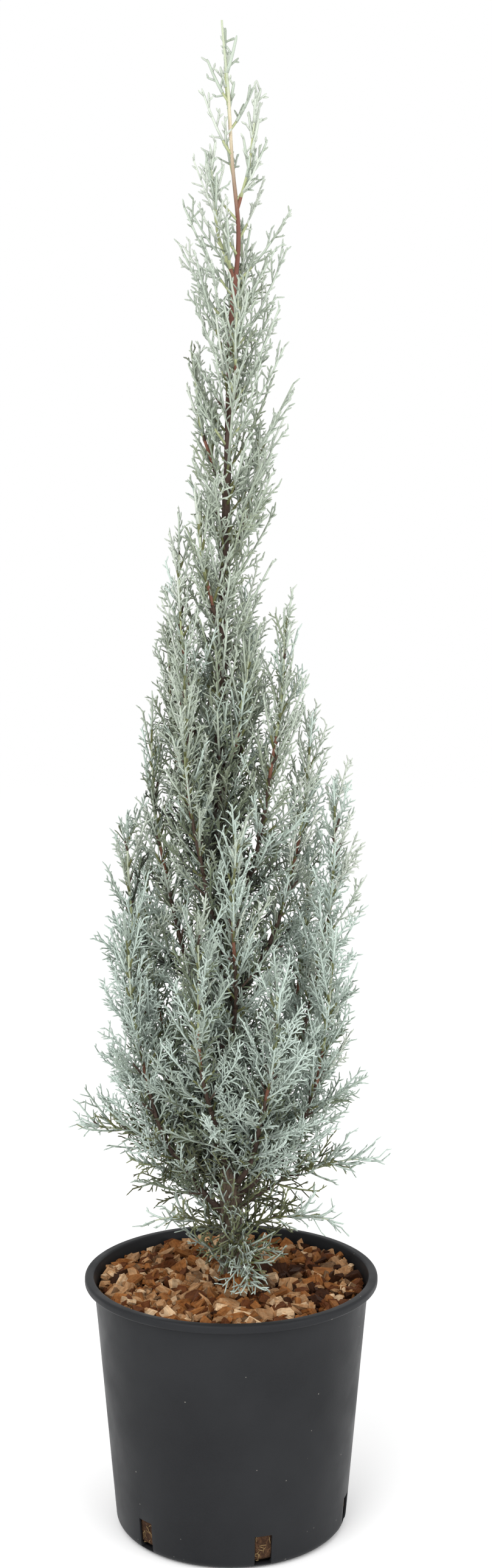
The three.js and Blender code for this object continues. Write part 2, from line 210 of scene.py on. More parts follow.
class StageSettings(bpy.types.PropertyGroup):
    """The camera, the lights and the floor"""

    camera_distance: length("Camera distance", "From the plant to the camera", 1.8173)
    camera_height: length("Camera height", "From the floor to the camera", 0.9089)
    camera_pitch: number("Pitch", "How far the camera looks down", 0.0825, unit="ROTATION")
    camera_turn: number("Turn", "How far the camera turns right", 0.0083, unit="ROTATION")
    lens: number("Lens", "Focal length in millimetres", 41.71, min=1)
    sky: number("Sky", "Strength of the white surroundings", 1.0, min=0)
    key: number("Key light", "Watts of the light at the front left", 66, min=0)
    fill: number("Fill light", "Watts of the light at the front right", 40, min=0)
    floor_radius: length("Floor radius", "Radius of the floor", 9.0)
    floor: colour("Floor", "Pale floor", 254, 254, 254)


# The plan of the limbs, as in the solids, in millimetres and degrees
class Tier(NamedTuple):
    """How the plumes of one tier grow.

    Their bend lies at a share of the reach (out) and of the rise (up), lifted by an arch, and a share
    of the bough is bare. The rest is about their sprays: how far they spread, how they lift and lean,
    how far apart, how open and how thick they are, and how long their branchlets grow.
    """

    out: float
    up: float
    arch: float
    bare: float
    spread: float
    lift: float
    spacing: float
    lean: float
    open: float
    thick: float
    branch: float = 1.0


class Plume(NamedTuple):
    """One bough with its foliage: where it leaves the trunk, where it faces and where its tip stands."""

    tier: str
    base: float
    facing: float
    reach: float
    top: float
    bough: bool = True
    size: float = 1.0
    apart: float = 1.0


class Bow(NamedTuple):
    """A bow of the trunk, centred at a height, that dies away over its span."""

    by: float
    at: float
    span: float


TIERS = {
    "skirt": Tier(
        out=0.55, up=0.7, arch=18, bare=0.3,
        spread=56, lift=0.2, spacing=0.95, lean=62, open=1.8, thick=0.94, branch=1.3,
    ),
    "lower": Tier(
        out=1, up=0.33, arch=0, bare=0.36,
        spread=72, lift=0.25, spacing=0.95, lean=58, open=1, thick=0.96,
    ),
    "middle": Tier(
        out=0.95, up=0.35, arch=0, bare=0.32,
        spread=59, lift=0.35, spacing=0.95, lean=54, open=1, thick=0.98,
    ),
    "upper": Tier(
        out=0.85, up=0.4, arch=0, bare=0,
        spread=56, lift=0.4, spacing=1.2, lean=42, open=1.25, thick=1.1,
    ),
}

PLUMES = (
    Plume("skirt", base=312, facing=356, reach=134, top=372, apart=0.9),
    Plume("skirt", base=335, facing=184, reach=136, top=408, size=1.3, apart=0.7),
    Plume("skirt", base=296, facing=283, reach=80, top=258, bough=False, apart=0.5),
    Plume("skirt", base=290, facing=335, reach=112, top=318, bough=False, size=0.75, apart=1.15),
    Plume("skirt", base=286, facing=212, reach=94, top=318, bough=False, size=0.55, apart=1.15),
    Plume("skirt", base=300, facing=70, reach=128, top=352, bough=False, apart=1.3),
    Plume("skirt", base=290, facing=135, reach=116, top=338, bough=False, size=0.5, apart=1.3),
    Plume("lower", base=352, facing=181, reach=104, top=702),
    Plume("lower", base=306, facing=205, reach=112, top=602),
    Plume("lower", base=362, facing=3, reach=106, top=735),
    Plume("lower", base=326, facing=334, reach=112, top=588),
    Plume("lower", base=340, facing=298, reach=96, top=562),
    Plume("lower", base=357, facing=250, reach=92, top=612),
    Plume("lower", base=330, facing=94, reach=112, top=642),
    Plume("lower", base=342, facing=42, reach=110, top=668),
    Plume("lower", base=318, facing=142, reach=112, top=652),
    Plume("middle", base=466, facing=276, reach=62, top=706),
    Plume("middle", base=496, facing=172, reach=78, top=802),
    Plume("middle", base=524, facing=14, reach=86, top=806),
    Plume("middle", base=552, facing=104, reach=72, top=836),
    Plume("middle", base=582, facing=230, reach=62, top=866),
    Plume("middle", base=612, facing=344, reach=62, top=912),
    Plume("middle", base=642, facing=158, reach=60, top=900),
    Plume("middle", base=676, facing=62, reach=50, top=936),
    Plume("middle", base=712, facing=200, reach=44, top=990),
)

UPPER_COUNT = 10
UPPER_LOWEST = 762
UPPER_HIGHEST = 1392
UPPER_FIRST_FACING = 320
UPPER_REACH = 37
UPPER_RISE = 126
UPPER_LEAST_RISE = 0.6
UPPER_SHRINK_TO = 0.32
UPPER_SHRINK_POWER = 3

SWAY_RIGHT = (Bow(-11, 793, 260), Bow(8, 1295, 60), Bow(-9, 1520, 70))
SWAY_AWAY = (Bow(34, 214, 110), Bow(6, 620, 180), Bow(-5, 1080, 160))

TRUNK_FOOT_RADIUS = 13
TRUNK_TIP_RADIUS = 1
TRUNK_TAPER = 0.6
TRUNK_FLARE = 5
TRUNK_FLARE_HEIGHT = 16

# The pot is turned in steps, and a drainage window takes up a few of them
POT_STEPS = 132
WINDOW_COUNT = 6
WINDOW_STEPS = 3
WINDOW_FIRST_FACING = math.radians(285)
WINDOW_HALF = WINDOW_STEPS * math.pi / POT_STEPS

# Where the random draws of each kind of growth begin
FIBRE_SEED = 11
CHIP_SEED = 23
FOOT_SEED = 98
TRUNK_SEED = 99
LINE_SEED = 500


def mix(a, b, share):
    """The value that lies a share of the way from a to b."""
    return a + (b - a) * share


def clamp(value, low=0.0, high=1.0):
    """The value kept between two limits."""
    return max(low, min(high, value))


# Nodes
def feed(tree, value, socket):
    """Links a socket to another one, or sets it to a plain value."""
    if isinstance(value, bpy.types.NodeSocket):
        tree.links.new(value, socket)
    else:
        socket.default_value = value


def add_node(tree, kind, settings=None, **sockets):
    """A new node with its settings and, by name, what its sockets take."""
    node = tree.nodes.new(kind)
    for name, value in (settings or {}).items():
        setattr(node, name, value)
    for name, value in sockets.items():
        feed(tree, value, node.inputs[name.replace("_", " ")])
    return node


def combined(tree, operation, first, second, kind="ShaderNodeMath"):
    """What an operation makes of two values."""
    node = add_node(tree, kind, {"operation": operation})
    feed(tree, first, node.inputs[0])
    feed(tree, second, node.inputs[1])
    return node.outputs[0]


def blended(tree, share, first, second):
    """The colour that lies a share of the way from the first to the second."""
    node = tree.nodes.new("ShaderNodeMix")
    node.data_type = "RGBA"
    feed(tree, share, node.inputs[0])
    feed(tree, first, node.inputs[6])
    feed(tree, second, node.inputs[7])
    return node.outputs[2]


def ranged(tree, value, low, high, to_low=0.0, to_high=1.0):
    """A value stretched from one range to another, and kept in it."""
    node = add_node(tree, "ShaderNodeMapRange", Value=value, From_Min=low, From_Max=high)
    feed(tree, to_low, node.inputs["To Min"])
    feed(tree, to_high, node.inputs["To Max"])
    return node.outputs[0]


def object_place(tree):
    """The place on the piece, in its own coordinates."""
    return tree.nodes.new("ShaderNodeTexCoord").outputs["Object"]


def height_at(tree, place):
    """The height of a place on the piece."""
    return add_node(tree, "ShaderNodeSeparateXYZ", Vector=place).outputs["Z"]


def solid(linear):
    """A linear colour with full opacity, as sockets take it."""
    return (*linear, 1.0)


def node_group(name, inputs, outputs):
    """A new shader node group with its named sockets, and its input and output nodes."""
    group = bpy.data.node_groups.new(name, "ShaderNodeTree")
    for label, kind, default in inputs:
        socket = group.interface.new_socket(name=label, in_out="INPUT", socket_type=kind)
        socket.default_value = default
    for label in outputs:
        group.interface.new_socket(name=label, in_out="OUTPUT", socket_type="NodeSocketFloat")
    return group, group.nodes.new("NodeGroupInput").outputs, group.nodes.new("NodeGroupOutput").inputs


def shared_group(name, build):
    """The node group of that name, built the first time that a material asks for it."""
    return bpy.data.node_groups.get(name) or build(name)


def build_mottle(name):
    """Soft uneven patches, as a value between Low and High."""
    inputs = (
        ("Vector", "NodeSocketVector", (0, 0, 0)),
        ("Scale", "NodeSocketFloat", 10.0),
        ("Low", "NodeSocketFloat", 0.0),
        ("High", "NodeSocketFloat", 1.0),
    )
    group, given, result = node_group(name, inputs, ("Value",))
    cloud = add_node(
        group, "ShaderNodeTexNoise", Vector=given["Vector"], Scale=given["Scale"], Detail=5.0
    )
    value = ranged(group, cloud.outputs[0], 0.32, 0.68, given["Low"], given["High"])
    feed(group, value, result["Value"])
    return group


def build_grain(name):
    """Long furrows that run along the grain: a mask of the furrows and a height for the relief."""
    inputs = (
        ("Vector", "NodeSocketVector", (0, 0, 0)),
        ("Stretch", "NodeSocketVector", (1, 1, 1)),
        ("Scale", "NodeSocketFloat", 300.0),
    )
    group, given, result = node_group(name, inputs, ("Furrow", "Height"))
    place = combined(group, "MULTIPLY", given["Vector"], given["Stretch"], "ShaderNodeVectorMath")
    streaks = add_node(
        group, "ShaderNodeTexNoise", Vector=place, Scale=given["Scale"], Detail=6.0, Roughness=0.62
    )
    feed(group, ranged(group, streaks.outputs[0], 0.56, 0.4), result["Furrow"])
    feed(group, ranged(group, streaks.outputs[0], 0.3, 0.65), result["Height"])
    return group


def build_specks(name):
    """Scattered small specks, as a mask. Share says how many of the cells hold one."""
    inputs = (
        ("Vector", "NodeSocketVector", (0, 0, 0)),
        ("Scale", "NodeSocketFloat", 100.0),
        ("Size", "NodeSocketFloat", 0.2),
        ("Share", "NodeSocketFloat", 0.3),
    )
    group, given, result = node_group(name, inputs, ("Mask",))
    cells = add_node(group, "ShaderNodeTexVoronoi", Vector=given["Vector"], Scale=given["Scale"])
    near = combined(group, "LESS_THAN", cells.outputs["Distance"], given["Size"])
    chosen = combined(group, "LESS_THAN", cells.outputs["Color"], given["Share"])
    feed(group, combined(group, "MULTIPLY", near, chosen), result["Mask"])
    return group


def place_group(tree, name, build, **sockets):
    """A shared effect placed in a material with its own values."""
    node = tree.nodes.new("ShaderNodeGroup")
    node.node_tree = shared_group(name, build)
    for label, value in sockets.items():
        feed(tree, value, node.inputs[label])
    return node.outputs


def mottle(tree, place, scale, low=0.0, high=1.0):
    """Soft uneven patches on a piece."""
    values = place_group(tree, "Mottle", build_mottle, Vector=place, Scale=scale, Low=low, High=high)
    return values["Value"]


def grain(tree, place, stretch, scale):
    """Furrows along the grain of a piece."""
    return place_group(tree, "Grain", build_grain, Vector=place, Stretch=stretch, Scale=scale)


def specks(tree, place, scale, size, share):
    """Scattered specks on a piece."""
    values = place_group(tree, "Specks", build_specks, Vector=place, Scale=scale, Size=size, Share=share)
    return values["Mask"]


def relief(tree, shader, height, strength, distance):
    """Lets a height stand out of the surface."""
    bump = add_node(tree, "ShaderNodeBump", Strength=strength, Distance=distance, Height=height)
    tree.links.new(bump.outputs["Normal"], shader.inputs["Normal"])


def new_material(name):
    """A material with one Principled shader, its tree and that shader."""
    material = bpy.data.materials.new(name)
    material.use_nodes = True
    tree = material.node_tree
    return material, tree, tree.nodes["Principled BSDF"]


# Materials
# Scuffs lie between these heights on the pot, thickest at the second
SCUFF_HEIGHTS = (40 * MM, 4 * MM)
# The attribute that carries a chip's own coordinates, along its grain first
GRAIN = "grain"
# What a stain leaves of a chip's red, green and blue, and what its darkest streaks leave of all three
STAIN = (0.74, 0.58, 0.42)
DARK_WOOD = 0.42
# The heights between which each tone of the trunk takes over from the one below it
BARK_TURNS = {
    "bark": (0.26, 0.52),
    "young_bark": (1.1, 1.24),
    "leader": (1.315, 1.4),
    "tip": (1.405, 1.44),
}
# The trunk's furrows take painted shade only below these heights
FURROW_HEIGHTS = (1.24, 1.05)


def charcoal_plastic(pot):
    """Moulded matte plastic with a fine tooth, dust specks and scuffs near the foot."""
    material, tree, shader = new_material("charcoal_plastic")
    place = object_place(tree)
    worn = solid(pot.plastic_worn)
    faded = blended(tree, mottle(tree, place, scale=9.0), solid(pot.plastic), worn)
    fine = mottle(tree, place, scale=700.0)
    toothed = blended(tree, ranged(tree, fine, 0, 1, to_high=0.35), faded, worn)
    dust = specks(tree, place, scale=95.0, size=0.06, share=0.25)
    dusty = blended(tree, dust, toothed, solid(pot.dust))
    low = ranged(tree, height_at(tree, place), *SCUFF_HEIGHTS, to_high=0.7)
    scuffs = combined(tree, "MULTIPLY", low, specks(tree, place, scale=190.0, size=0.17, share=0.16))
    feed(tree, blended(tree, scuffs, dusty, solid(pot.dust)), shader.inputs["Base Color"])
    feed(tree, mottle(tree, place, scale=26.0, low=0.36, high=0.5), shader.inputs["Roughness"])
    shader.inputs["Specular IOR Level"].default_value = 0.1
    relief(tree, shader, fine, strength=0.12, distance=0.2 * MM)
    return material


def crumbly(name, dark, light, scale):
    """Loose crumbs of mix or bark, with painted shade in their hollows."""
    material, tree, shader = new_material(name)
    place = object_place(tree)
    crumbs = mottle(tree, place, scale)
    patches = mottle(tree, place, scale * 0.3)
    tops = blended(tree, patches, solid(dark), solid(light))
    # The dark colour also fills the crumbs' hollows as painted shade
    feed(tree, blended(tree, crumbs, solid(dark), tops), shader.inputs["Base Color"])
    shader.inputs["Roughness"].default_value = 0.95
    shader.inputs["Specular IOR Level"].default_value = 0.2
    relief(tree, shader, crumbs, strength=0.9, distance=1.5 * MM)
    return material


def split_wood(name, tone):
    """A wood chip with its grain, stained and weathered in patches."""
    material, tree, shader = new_material(name)
    along = add_node(tree, "ShaderNodeAttribute", {"attribute_name": GRAIN}).outputs["Vector"]
    streaks = grain(tree, along, stretch=(0.12, 1, 1), scale=420.0)
    darker = solid([value * DARK_WOOD for value in tone])
    stain = solid([value * share for value, share in zip(tone, STAIN)])
    patches = ranged(tree, mottle(tree, along, scale=210.0), 0.45, 0.75, to_high=0.8)
    stained = blended(tree, patches, solid(tone), stain)
    streaked = blended(tree, ranged(tree, streaks["Furrow"], 0, 1, to_high=0.45), stained, darker)
    weathered = ranged(tree, mottle(tree, along, scale=90.0), 0.35, 1, to_high=0.6)
    feed(tree, blended(tree, weathered, streaked, darker), shader.inputs["Base Color"])
    feed(tree, mottle(tree, along, scale=60.0, low=0.62, high=0.88), shader.inputs["Roughness"])
    shader.inputs["Specular IOR Level"].default_value = 0.1
    relief(tree, shader, streaks["Height"], strength=0.8, distance=1 * MM)
    return material


def trunk_bark(colours):
    """Bark that is grey at the foot, reddish above, and pale and then green at the leader."""
    material, tree, shader = new_material("trunk_bark")
    place = object_place(tree)
    height = height_at(tree, place)
    tone = solid(colours.foot_bark)
    for name, heights in BARK_TURNS.items():
        tone = blended(tree, ranged(tree, height, *heights), tone, solid(getattr(colours, name)))
    furrows = grain(tree, place, stretch=(1, 1, 0.14), scale=520.0)
    old = ranged(tree, height, *FURROW_HEIGHTS, to_high=0.75)
    # The furrows are darkened as painted shade
    shade = combined(tree, "MULTIPLY", furrows["Furrow"], old)
    feed(tree, blended(tree, shade, tone, solid(colours.furrow)), shader.inputs["Base Color"])
    feed(tree, mottle(tree, place, scale=120.0, low=0.68, high=0.9), shader.inputs["Roughness"])
    relief(tree, shader, furrows["Height"], strength=0.6, distance=0.7 * MM)
    return material


def bough_bark(colours):
    """Thin reddish-brown bark with fine lengthwise furrows."""
    material, tree, shader = new_material("bough_bark")
    place = object_place(tree)
    furrows = grain(tree, place, stretch=(1, 1, 0.3), scale=600.0)
    tone = blended(tree, mottle(tree, place, scale=30.0), solid(colours.bark), solid(colours.brown))
    # The furrows are darkened as painted shade
    shade = ranged(tree, furrows["Furrow"], 0, 1, to_high=0.7)
    feed(tree, blended(tree, shade, tone, solid(colours.furrow)), shader.inputs["Base Color"])
    feed(tree, mottle(tree, place, scale=120.0, low=0.65, high=0.88), shader.inputs["Roughness"])
    relief(tree, shader, furrows["Height"], strength=0.5, distance=0.5 * MM)
    return material


def waxy(name, tone, rough=0.62, sheen=0.0):
    """A plain tone under a matte bloom of wax, for what is too fine to hold a pattern."""
    material, _, shader = new_material(name)
    shader.inputs["Base Color"].default_value = solid(tone)
    shader.inputs["Roughness"].default_value = rough
    shader.inputs["Specular IOR Level"].default_value = 0.35
    shader.inputs["Sheen Weight"].default_value = sheen
    return material


def pale_floor(tone):
    """A plain matte floor."""
    material, _, shader = new_material("pale_floor")
    shader.inputs["Base Color"].default_value = solid(tone)
    shader.inputs["Roughness"].default_value = 0.9
    shader.inputs["Specular IOR Level"].default_value = 0.0
    return material


# Pieces
def place_piece(name, mesh, material, nodes=()):
    """Puts a finished mesh in the scene, on the plant's one body, in place of its solids."""
    mesh.materials.append(material)
    piece = bpy.data.objects.new(name, mesh)
    bpy.context.scene.collection.objects.link(piece)
    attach(piece, BODY)
    if nodes:
        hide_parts(*nodes)
    return piece


def finish_bmesh(bm, name, sharp=math.radians(40)):
    """Shades a bmesh smooth, keeps its sharp edges, and turns it into a mesh."""
    for face in bm.faces:
        face.smooth = True
    for edge in bm.edges:
        edge.smooth = edge.is_boundary or edge.calc_face_angle(0) < sharp
    mesh = bpy.data.meshes.new(name)
    bm.to_mesh(mesh)
    bm.free()
    return mesh


def mesh_from_arrays(name, points, loops, sizes, smooth):
    """A mesh from its points, the corners of its faces in turn, and how many corners each face has."""
    mesh = bpy.data.meshes.new(name)
    mesh.vertices.add(len(points))
    mesh.vertices.foreach_set("co", np.asarray(points, np.float32).ravel())
    mesh.loops.add(len(loops))
    mesh.loops.foreach_set("vertex_index", np.asarray(loops, np.int32))
    mesh.polygons.add(len(sizes))
    starts = np.concatenate(([0], np.cumsum(sizes)[:-1]))
    mesh.polygons.foreach_set("loop_start", starts.astype(np.int32))
    mesh.polygons.foreach_set("use_smooth", np.full(len(sizes), smooth))
    mesh.update(calc_edges=True)
    return mesh


class Bundle:
    """Many thin shoots that become one mesh. Each is a line of points with a radius at each."""

    def __init__(self):
        self.lines = {}

    def add(self, points, radii, sides):
        """Adds one shoot with that many sides."""
        self.lines.setdefault((len(points), sides), []).append((points, radii))

    def mesh(self, name):
        """All the shoots as closed many-sided tubes in one mesh."""
        points, loops, sizes, count = [], [], [], 0
        for (rings, sides), lines in self.lines.items():
            tubes = self.swept(lines, sides)
            faces = self.tube_faces(rings, sides)
            firsts = count + np.arange(len(lines)) * rings * sides
            for face in faces:
                loops.append((firsts[:, None, None] + face[None]).reshape(-1))
                sizes.append(np.full(len(lines) * len(face), face.shape[1]))
            points.append(tubes.reshape(-1, 3))
            count += tubes.size // 3
        joined = [np.concatenate(part) for part in (points, loops, sizes)]
        return mesh_from_arrays(name, *joined, smooth=True)

    @staticmethod
    def swept(lines, sides):
        """The points of each tube, ring by ring."""
        middles = np.array([[tuple(point) for point in points] for points, _ in lines])
        radii = np.array([radii for _, radii in lines])[:, :, None, None]
        along = np.gradient(middles, axis=1)
        along /= np.linalg.norm(along, axis=2, keepdims=True)
        steep = np.abs(along[:, :1, 2:]) > STEEP
        other = np.where(steep, np.array([1.0, 0, 0]), np.array([0, 0, 1.0]))
        across = np.cross(np.broadcast_to(other, along.shape), along)
        across /= np.linalg.norm(across, axis=2, keepdims=True)
        upright = np.cross(along, across)
        angles = np.arange(sides) * 2 * math.pi / sides
        ring = (
            across[:, :, None] * np.cos(angles)[None, None, :, None]
            + upright[:, :, None] * np.sin(angles)[None, None, :, None]
        )
        return middles[:, :, None] + radii * ring

    @staticmethod
    def tube_faces(rings, sides):
        """The corners of one tube's walls and of its two ends."""
        corner = np.arange(sides)
        following = (corner + 1) % sides
        walls = [
            np.stack((i + corner, i + following, i + sides + following, i + sides + corner), axis=1)
            for i in range(0, (rings - 1) * sides, sides)
        ]
        ends = np.stack((corner[::-1], (rings - 1) * sides + corner))
        return np.concatenate(walls), ends


# Pot
# Where the plain wall above the windows has its rings of points
WALL_RINGS = (60 * MM, 110 * MM, 160 * MM, 210 * MM)
# How far the floor ends before the inner wall, and how far under the rim that wall begins
FLOOR_INSET = 6 * MM
BELOW_LIP = 1 * MM
# Faces further from the axis than this share of the base's radius belong to the wall
WALL_FROM = 0.9
# Radius of the windows' edges
WINDOW_ROUND = 0.35 * MM
# A way along which no two points or faces of the pot lie level
SORTED_ALONG = Vector((1, 3.7, 11.3))


def arc(middle, height, radius, start, end, steps):
    """Points of (radius, height) on an arc, with its angles in degrees."""
    angles = np.radians(np.linspace(start, end, steps + 1))
    return [(middle + radius * math.cos(a), height + radius * math.sin(a)) for a in angles]


def wall_radius(pot, z):
    """The radius of the pot's outer wall at a height."""
    share = (z - pot.base_round) / (pot.height - pot.rim_height - pot.base_round)
    return mix(pot.base_radius, pot.shoulder_radius, share)


def inner_radius(pot, z):
    """The radius of the pot's inner wall at a height."""
    return wall_radius(pot, z) - pot.wall


def pot_outline(pot):
    """The pot's section from the middle of its underside up the wall, over the rim and down inside."""
    under_rim = pot.height - pot.rim_height
    edge = pot.rim_radius - pot.rim_round
    lip = pot.rim_inner_radius + pot.lip_round
    outline = [(0, 0)]
    outline += arc(pot.base_radius - pot.base_round, pot.base_round, pot.base_round, -90, 0, 8)
    outline += [(wall_radius(pot, z), z) for z in (pot.window_top, *WALL_RINGS)]
    outline += arc(pot.shoulder_radius + pot.hollow, under_rim - pot.hollow, pot.hollow, 180, 90, 4)
    outline += arc(edge, under_rim + pot.rim_round, pot.rim_round, -90, 0, 5)
    outline += arc(edge, pot.height - pot.rim_round, pot.rim_round, 0, 90, 6)
    outline += arc(lip, pot.height - pot.lip_round, pot.lip_round, 90, 180, 5)
    outline.append((pot.shoulder_radius - pot.wall, under_rim - BELOW_LIP))
    outline.append((inner_radius(pot, pot.window_top), pot.window_top))
    inner_foot = (inner_radius(pot, pot.base_round), pot.base_round)
    floor_edge = (inner_radius(pot, pot.floor) - FLOOR_INSET, pot.floor)
    share = (pot.window_bottom - pot.floor) / (pot.base_round - pot.floor)
    sill = tuple(mix(low, high, share) for low, high in zip(floor_edge, inner_foot))
    return outline + [inner_foot, sill, floor_edge, (0, pot.floor)]


def revolved(outline, steps, start=0.0):
    """A closed bmesh turned from an outline that begins and ends on the axis."""
    bm = bmesh.new()
    first, *sides, last = outline
    turns = [Matrix.Rotation(start + i * 2 * math.pi / steps, 3, "Z") for i in range(steps)]
    rings = [[bm.verts.new(turn @ Vector((radius, 0, z))) for turn in turns] for radius, z in sides]
    foot, head = [bm.verts.new((0, 0, z)) for _, z in (first, last)]
    for i in range(steps):
        after = (i + 1) % steps
        bm.faces.new((foot, rings[0][after], rings[0][i]))
        for low, high in zip(rings, rings[1:]):
            bm.faces.new((low[i], low[after], high[after], high[i]))
        bm.faces.new((rings[-1][i], rings[-1][after], head))
    bm.normal_update()
    return bm


def turn_between(angle, facing):
    """The shorter turn from a facing to an angle."""
    return (angle - facing + math.pi) % (2 * math.pi) - math.pi


def window_facings():
    """The way that each drainage window faces."""
    return [WINDOW_FIRST_FACING + i * 2 * math.pi / WINDOW_COUNT for i in range(WINDOW_COUNT)]


def cut_window(bm, pot, facing):
    """Opens one drainage window, lines it through the wall and softens its edges."""
    cut = []
    for face in bm.faces:
        middle = face.calc_center_median()
        turn = turn_between(math.atan2(middle.y, middle.x), facing)
        in_height = pot.window_bottom < middle.z < pot.window_top
        in_wall = middle.xy.length > WALL_FROM * pot.base_radius
        if in_height and in_wall and abs(turn) < WINDOW_HALF:
            cut.append(face)
    bmesh.ops.delete(bm, geom=cut, context="FACES")
    rims = [edge for edge in bm.edges if edge.is_boundary]
    bmesh.ops.bridge_loops(bm, edges=rims)
    bmesh.ops.bevel(
        bm,
        geom=rims,
        offset=WINDOW_ROUND,
        segments=2,
        profile=0.5,
        affect="EDGES",
        material=-1,
        clamp_overlap=True,
    )


def put_in_order(bm):
    """Sorts points, edges and faces by their places, so that the mesh is the same each time."""
    bm.verts.sort(key=lambda vert: vert.co.dot(SORTED_ALONG))
    bm.edges.sort(key=lambda edge: (edge.verts[0].co + edge.verts[1].co).dot(SORTED_ALONG))
    bm.faces.sort(key=lambda face: face.calc_center_median().dot(SORTED_ALONG))


def mould_pot(pot):
    """The pot with its rolled rim and drainage windows."""
    bm = revolved(pot_outline(pot), POT_STEPS, WINDOW_FIRST_FACING - WINDOW_HALF)
    for facing in window_facings():
        cut_window(bm, pot, facing)
    bmesh.ops.recalc_face_normals(bm, faces=bm.faces)
    put_in_order(bm)
    place_piece("pot_shell", finish_bmesh(bm, "pot_shell"), charcoal_plastic(pot), ("pot",))


# Potting mix and chips
# How far a filling keeps from the wall, how far its foot stands back, and its top's rings as shares
FILLING_GAP = 0.6 * MM
FILLING_INSET = 8 * MM
FILLING_RINGS = (0.9, 0.75, 0.6, 0.45, 0.3, 0.15)
# A point with a steeper normal than this lies on a filling's top
TOP_NORMAL = 0.7
# The mix has close rings behind the windows, in millimetres, and a few above them
MIX_LOW_RINGS = (9.5, 42, 2)
MIX_HIGH_FROM = 60 * MM
MIX_HIGH_COUNT = 6
# How much of a window the straw fibres fill, then in millimetres how far they keep from its foot and top,
# how long and how thick they are and how deep they lie, and last how far they bend
FIBRE_SHARE = 0.9
FIBRE_CLEAR = (3, 2)
FIBRE_LENGTHS = (3, 9)
FIBRE_RADII = (0.25, 0.45)
FIBRE_DEPTHS = (0.3, 0.9)
FIBRE_BEND = 0.5
# Where a fibre has its points, as shares of its half length, and its radius at each
FIBRE_POINTS = (-1, -0.33, 0.33, 1)
FIBRE_TAPER = (0.6, 1, 1, 0.6)
# How far the mix draws back for each millimetre below the pot's foot rounding
FOOT_DRAWS_BACK = 0.8


def filling_outline(pot, bottom, top, heights):
    """The section of a round filling of the pot."""
    inside = [(inner_radius(pot, z) - FILLING_GAP, z) for z in heights]
    inset = FILLING_INSET if bottom < pot.base_round else 0
    foot = (inner_radius(pot, bottom) - FILLING_GAP - inset, bottom)
    rings = [(inside[-1][0] * share, top) for share in FILLING_RINGS]
    return [(0, bottom), foot, *inside, *rings, (0, top)]


def roughened(bm, scale, depth, inwards):
    """Pushes a filling's wall inwards and its top up and down by a noise."""
    for vert in bm.verts:
        bump = noise.noise(vert.co * scale) + 0.5 * noise.noise(vert.co * scale * 2.7)
        radius = vert.co.xy.length
        if radius > 1 * MM:
            vert.co.xy *= 1 - inwards * (0.6 + 0.4 * bump) / radius
        if vert.normal.z > TOP_NORMAL:
            vert.co.z += depth * bump


def fill_with_mix(pot, filling):
    """The potting mix, with its straw fibres in the drainage windows."""
    low = np.arange(*MIX_LOW_RINGS) * MM
    high = np.linspace(MIX_HIGH_FROM, SOIL_HIGH.z, MIX_HIGH_COUNT)
    bm = revolved(filling_outline(pot, SOIL_LOW.z, SOIL_HIGH.z, (*low, *high)), steps=240)
    roughened(bm, scale=260, depth=0, inwards=0.9 * MM)
    mix_look = crumbly("potting_mix", filling.mix_dark, filling.mix_light, scale=420.0)
    place_piece("potting_mix", finish_bmesh(bm, "potting_mix", math.pi), mix_look, ("soil",))
    fibres = Bundle()
    rng = random.Random(FIBRE_SEED)
    half = FIBRE_SHARE * WINDOW_HALF
    for facing in window_facings():
        for _ in range(filling.fibres):
            fibres.add(*fibre(pot, facing + rng.uniform(-half, half), half, facing, rng), 4)
    straw_look = waxy("straw", filling.straw, rough=0.85)
    place_piece("straw_fibres", fibres.mesh("straw_fibres"), straw_look, ("soil",))


def fibre(pot, angle, half, facing, rng):
    """One bent straw fibre on the mix behind a window: its points and its radii."""
    lowest = pot.window_bottom + 2 * MM
    highest = pot.window_top - MM
    above, below = FIBRE_CLEAR
    z = rng.uniform(pot.window_bottom + above * MM, pot.window_top - below * MM)
    slant = rng.uniform(0, 2 * math.pi)
    span = rng.uniform(*FIBRE_LENGTHS) * MM
    bend = rng.uniform(-FIBRE_BEND, FIBRE_BEND)
    points = []
    for step in FIBRE_POINTS:
        heading = slant + bend * step
        turned = angle + step * span / 2 * math.cos(heading) / pot.base_radius
        turned = facing + clamp(turned - facing, -half, half)
        height = clamp(z + step * span / 2 * math.sin(heading), lowest, highest)
        radius = inner_radius(pot, max(height, pot.base_round)) - rng.uniform(*FIBRE_DEPTHS) * MM
        radius -= max(0, pot.base_round - height) * FOOT_DRAWS_BACK
        points.append(Vector((radius * math.cos(turned), radius * math.sin(turned), height)))
    thick = rng.uniform(*FIBRE_RADII) * MM
    return points, [share * thick for share in FIBRE_TAPER]


# How many shapes of chip there are, and how many cuts split each from a block
CHIP_SHAPES = 14
CHIP_CUTS = 3
# Layers of chips, how high they pile and how uneven they lie, in millimetres, and the turn between them
CHIP_LAYERS = 3
CHIP_PILE = 9.5
CHIP_UNEVEN = 2.5
CHIP_LAYER_TURN = 1.3
# How far chips tip along and across their grain
CHIP_TILT = 0.5
CHIP_ROLL = 0.6
# How far they keep from the wall
CHIP_CLEARANCE = 1 * MM
# The smallest and the largest chip as shares of a usual one, and how far small ones prevail
CHIP_SCALES = (0.45, 1.4)
CHIP_SKEW = 1.7
# How each chip's length, width and thickness vary
CHIP_STRETCHES = ((0.7, 1.3), (0.55, 1.2), (0.6, 1.4))
# Each tone of chip with its share of the dry chips and of the damp ones, which the bottom layer also takes
# as painted shade
CHIP_TONES = (
    ("amber", 0.31, 0.08),
    ("tan", 0.32, 0.1),
    ("pale", 0.12, 0.03),
    ("russet", 0.17, 0.28),
    ("umber", 0.04, 0.43),
    ("grey", 0.04, 0.08),
)
# Where damp chips lie together
DAMP_PLACE = Vector((75 * MM, 20 * MM))
DAMP_REACH = 58 * MM


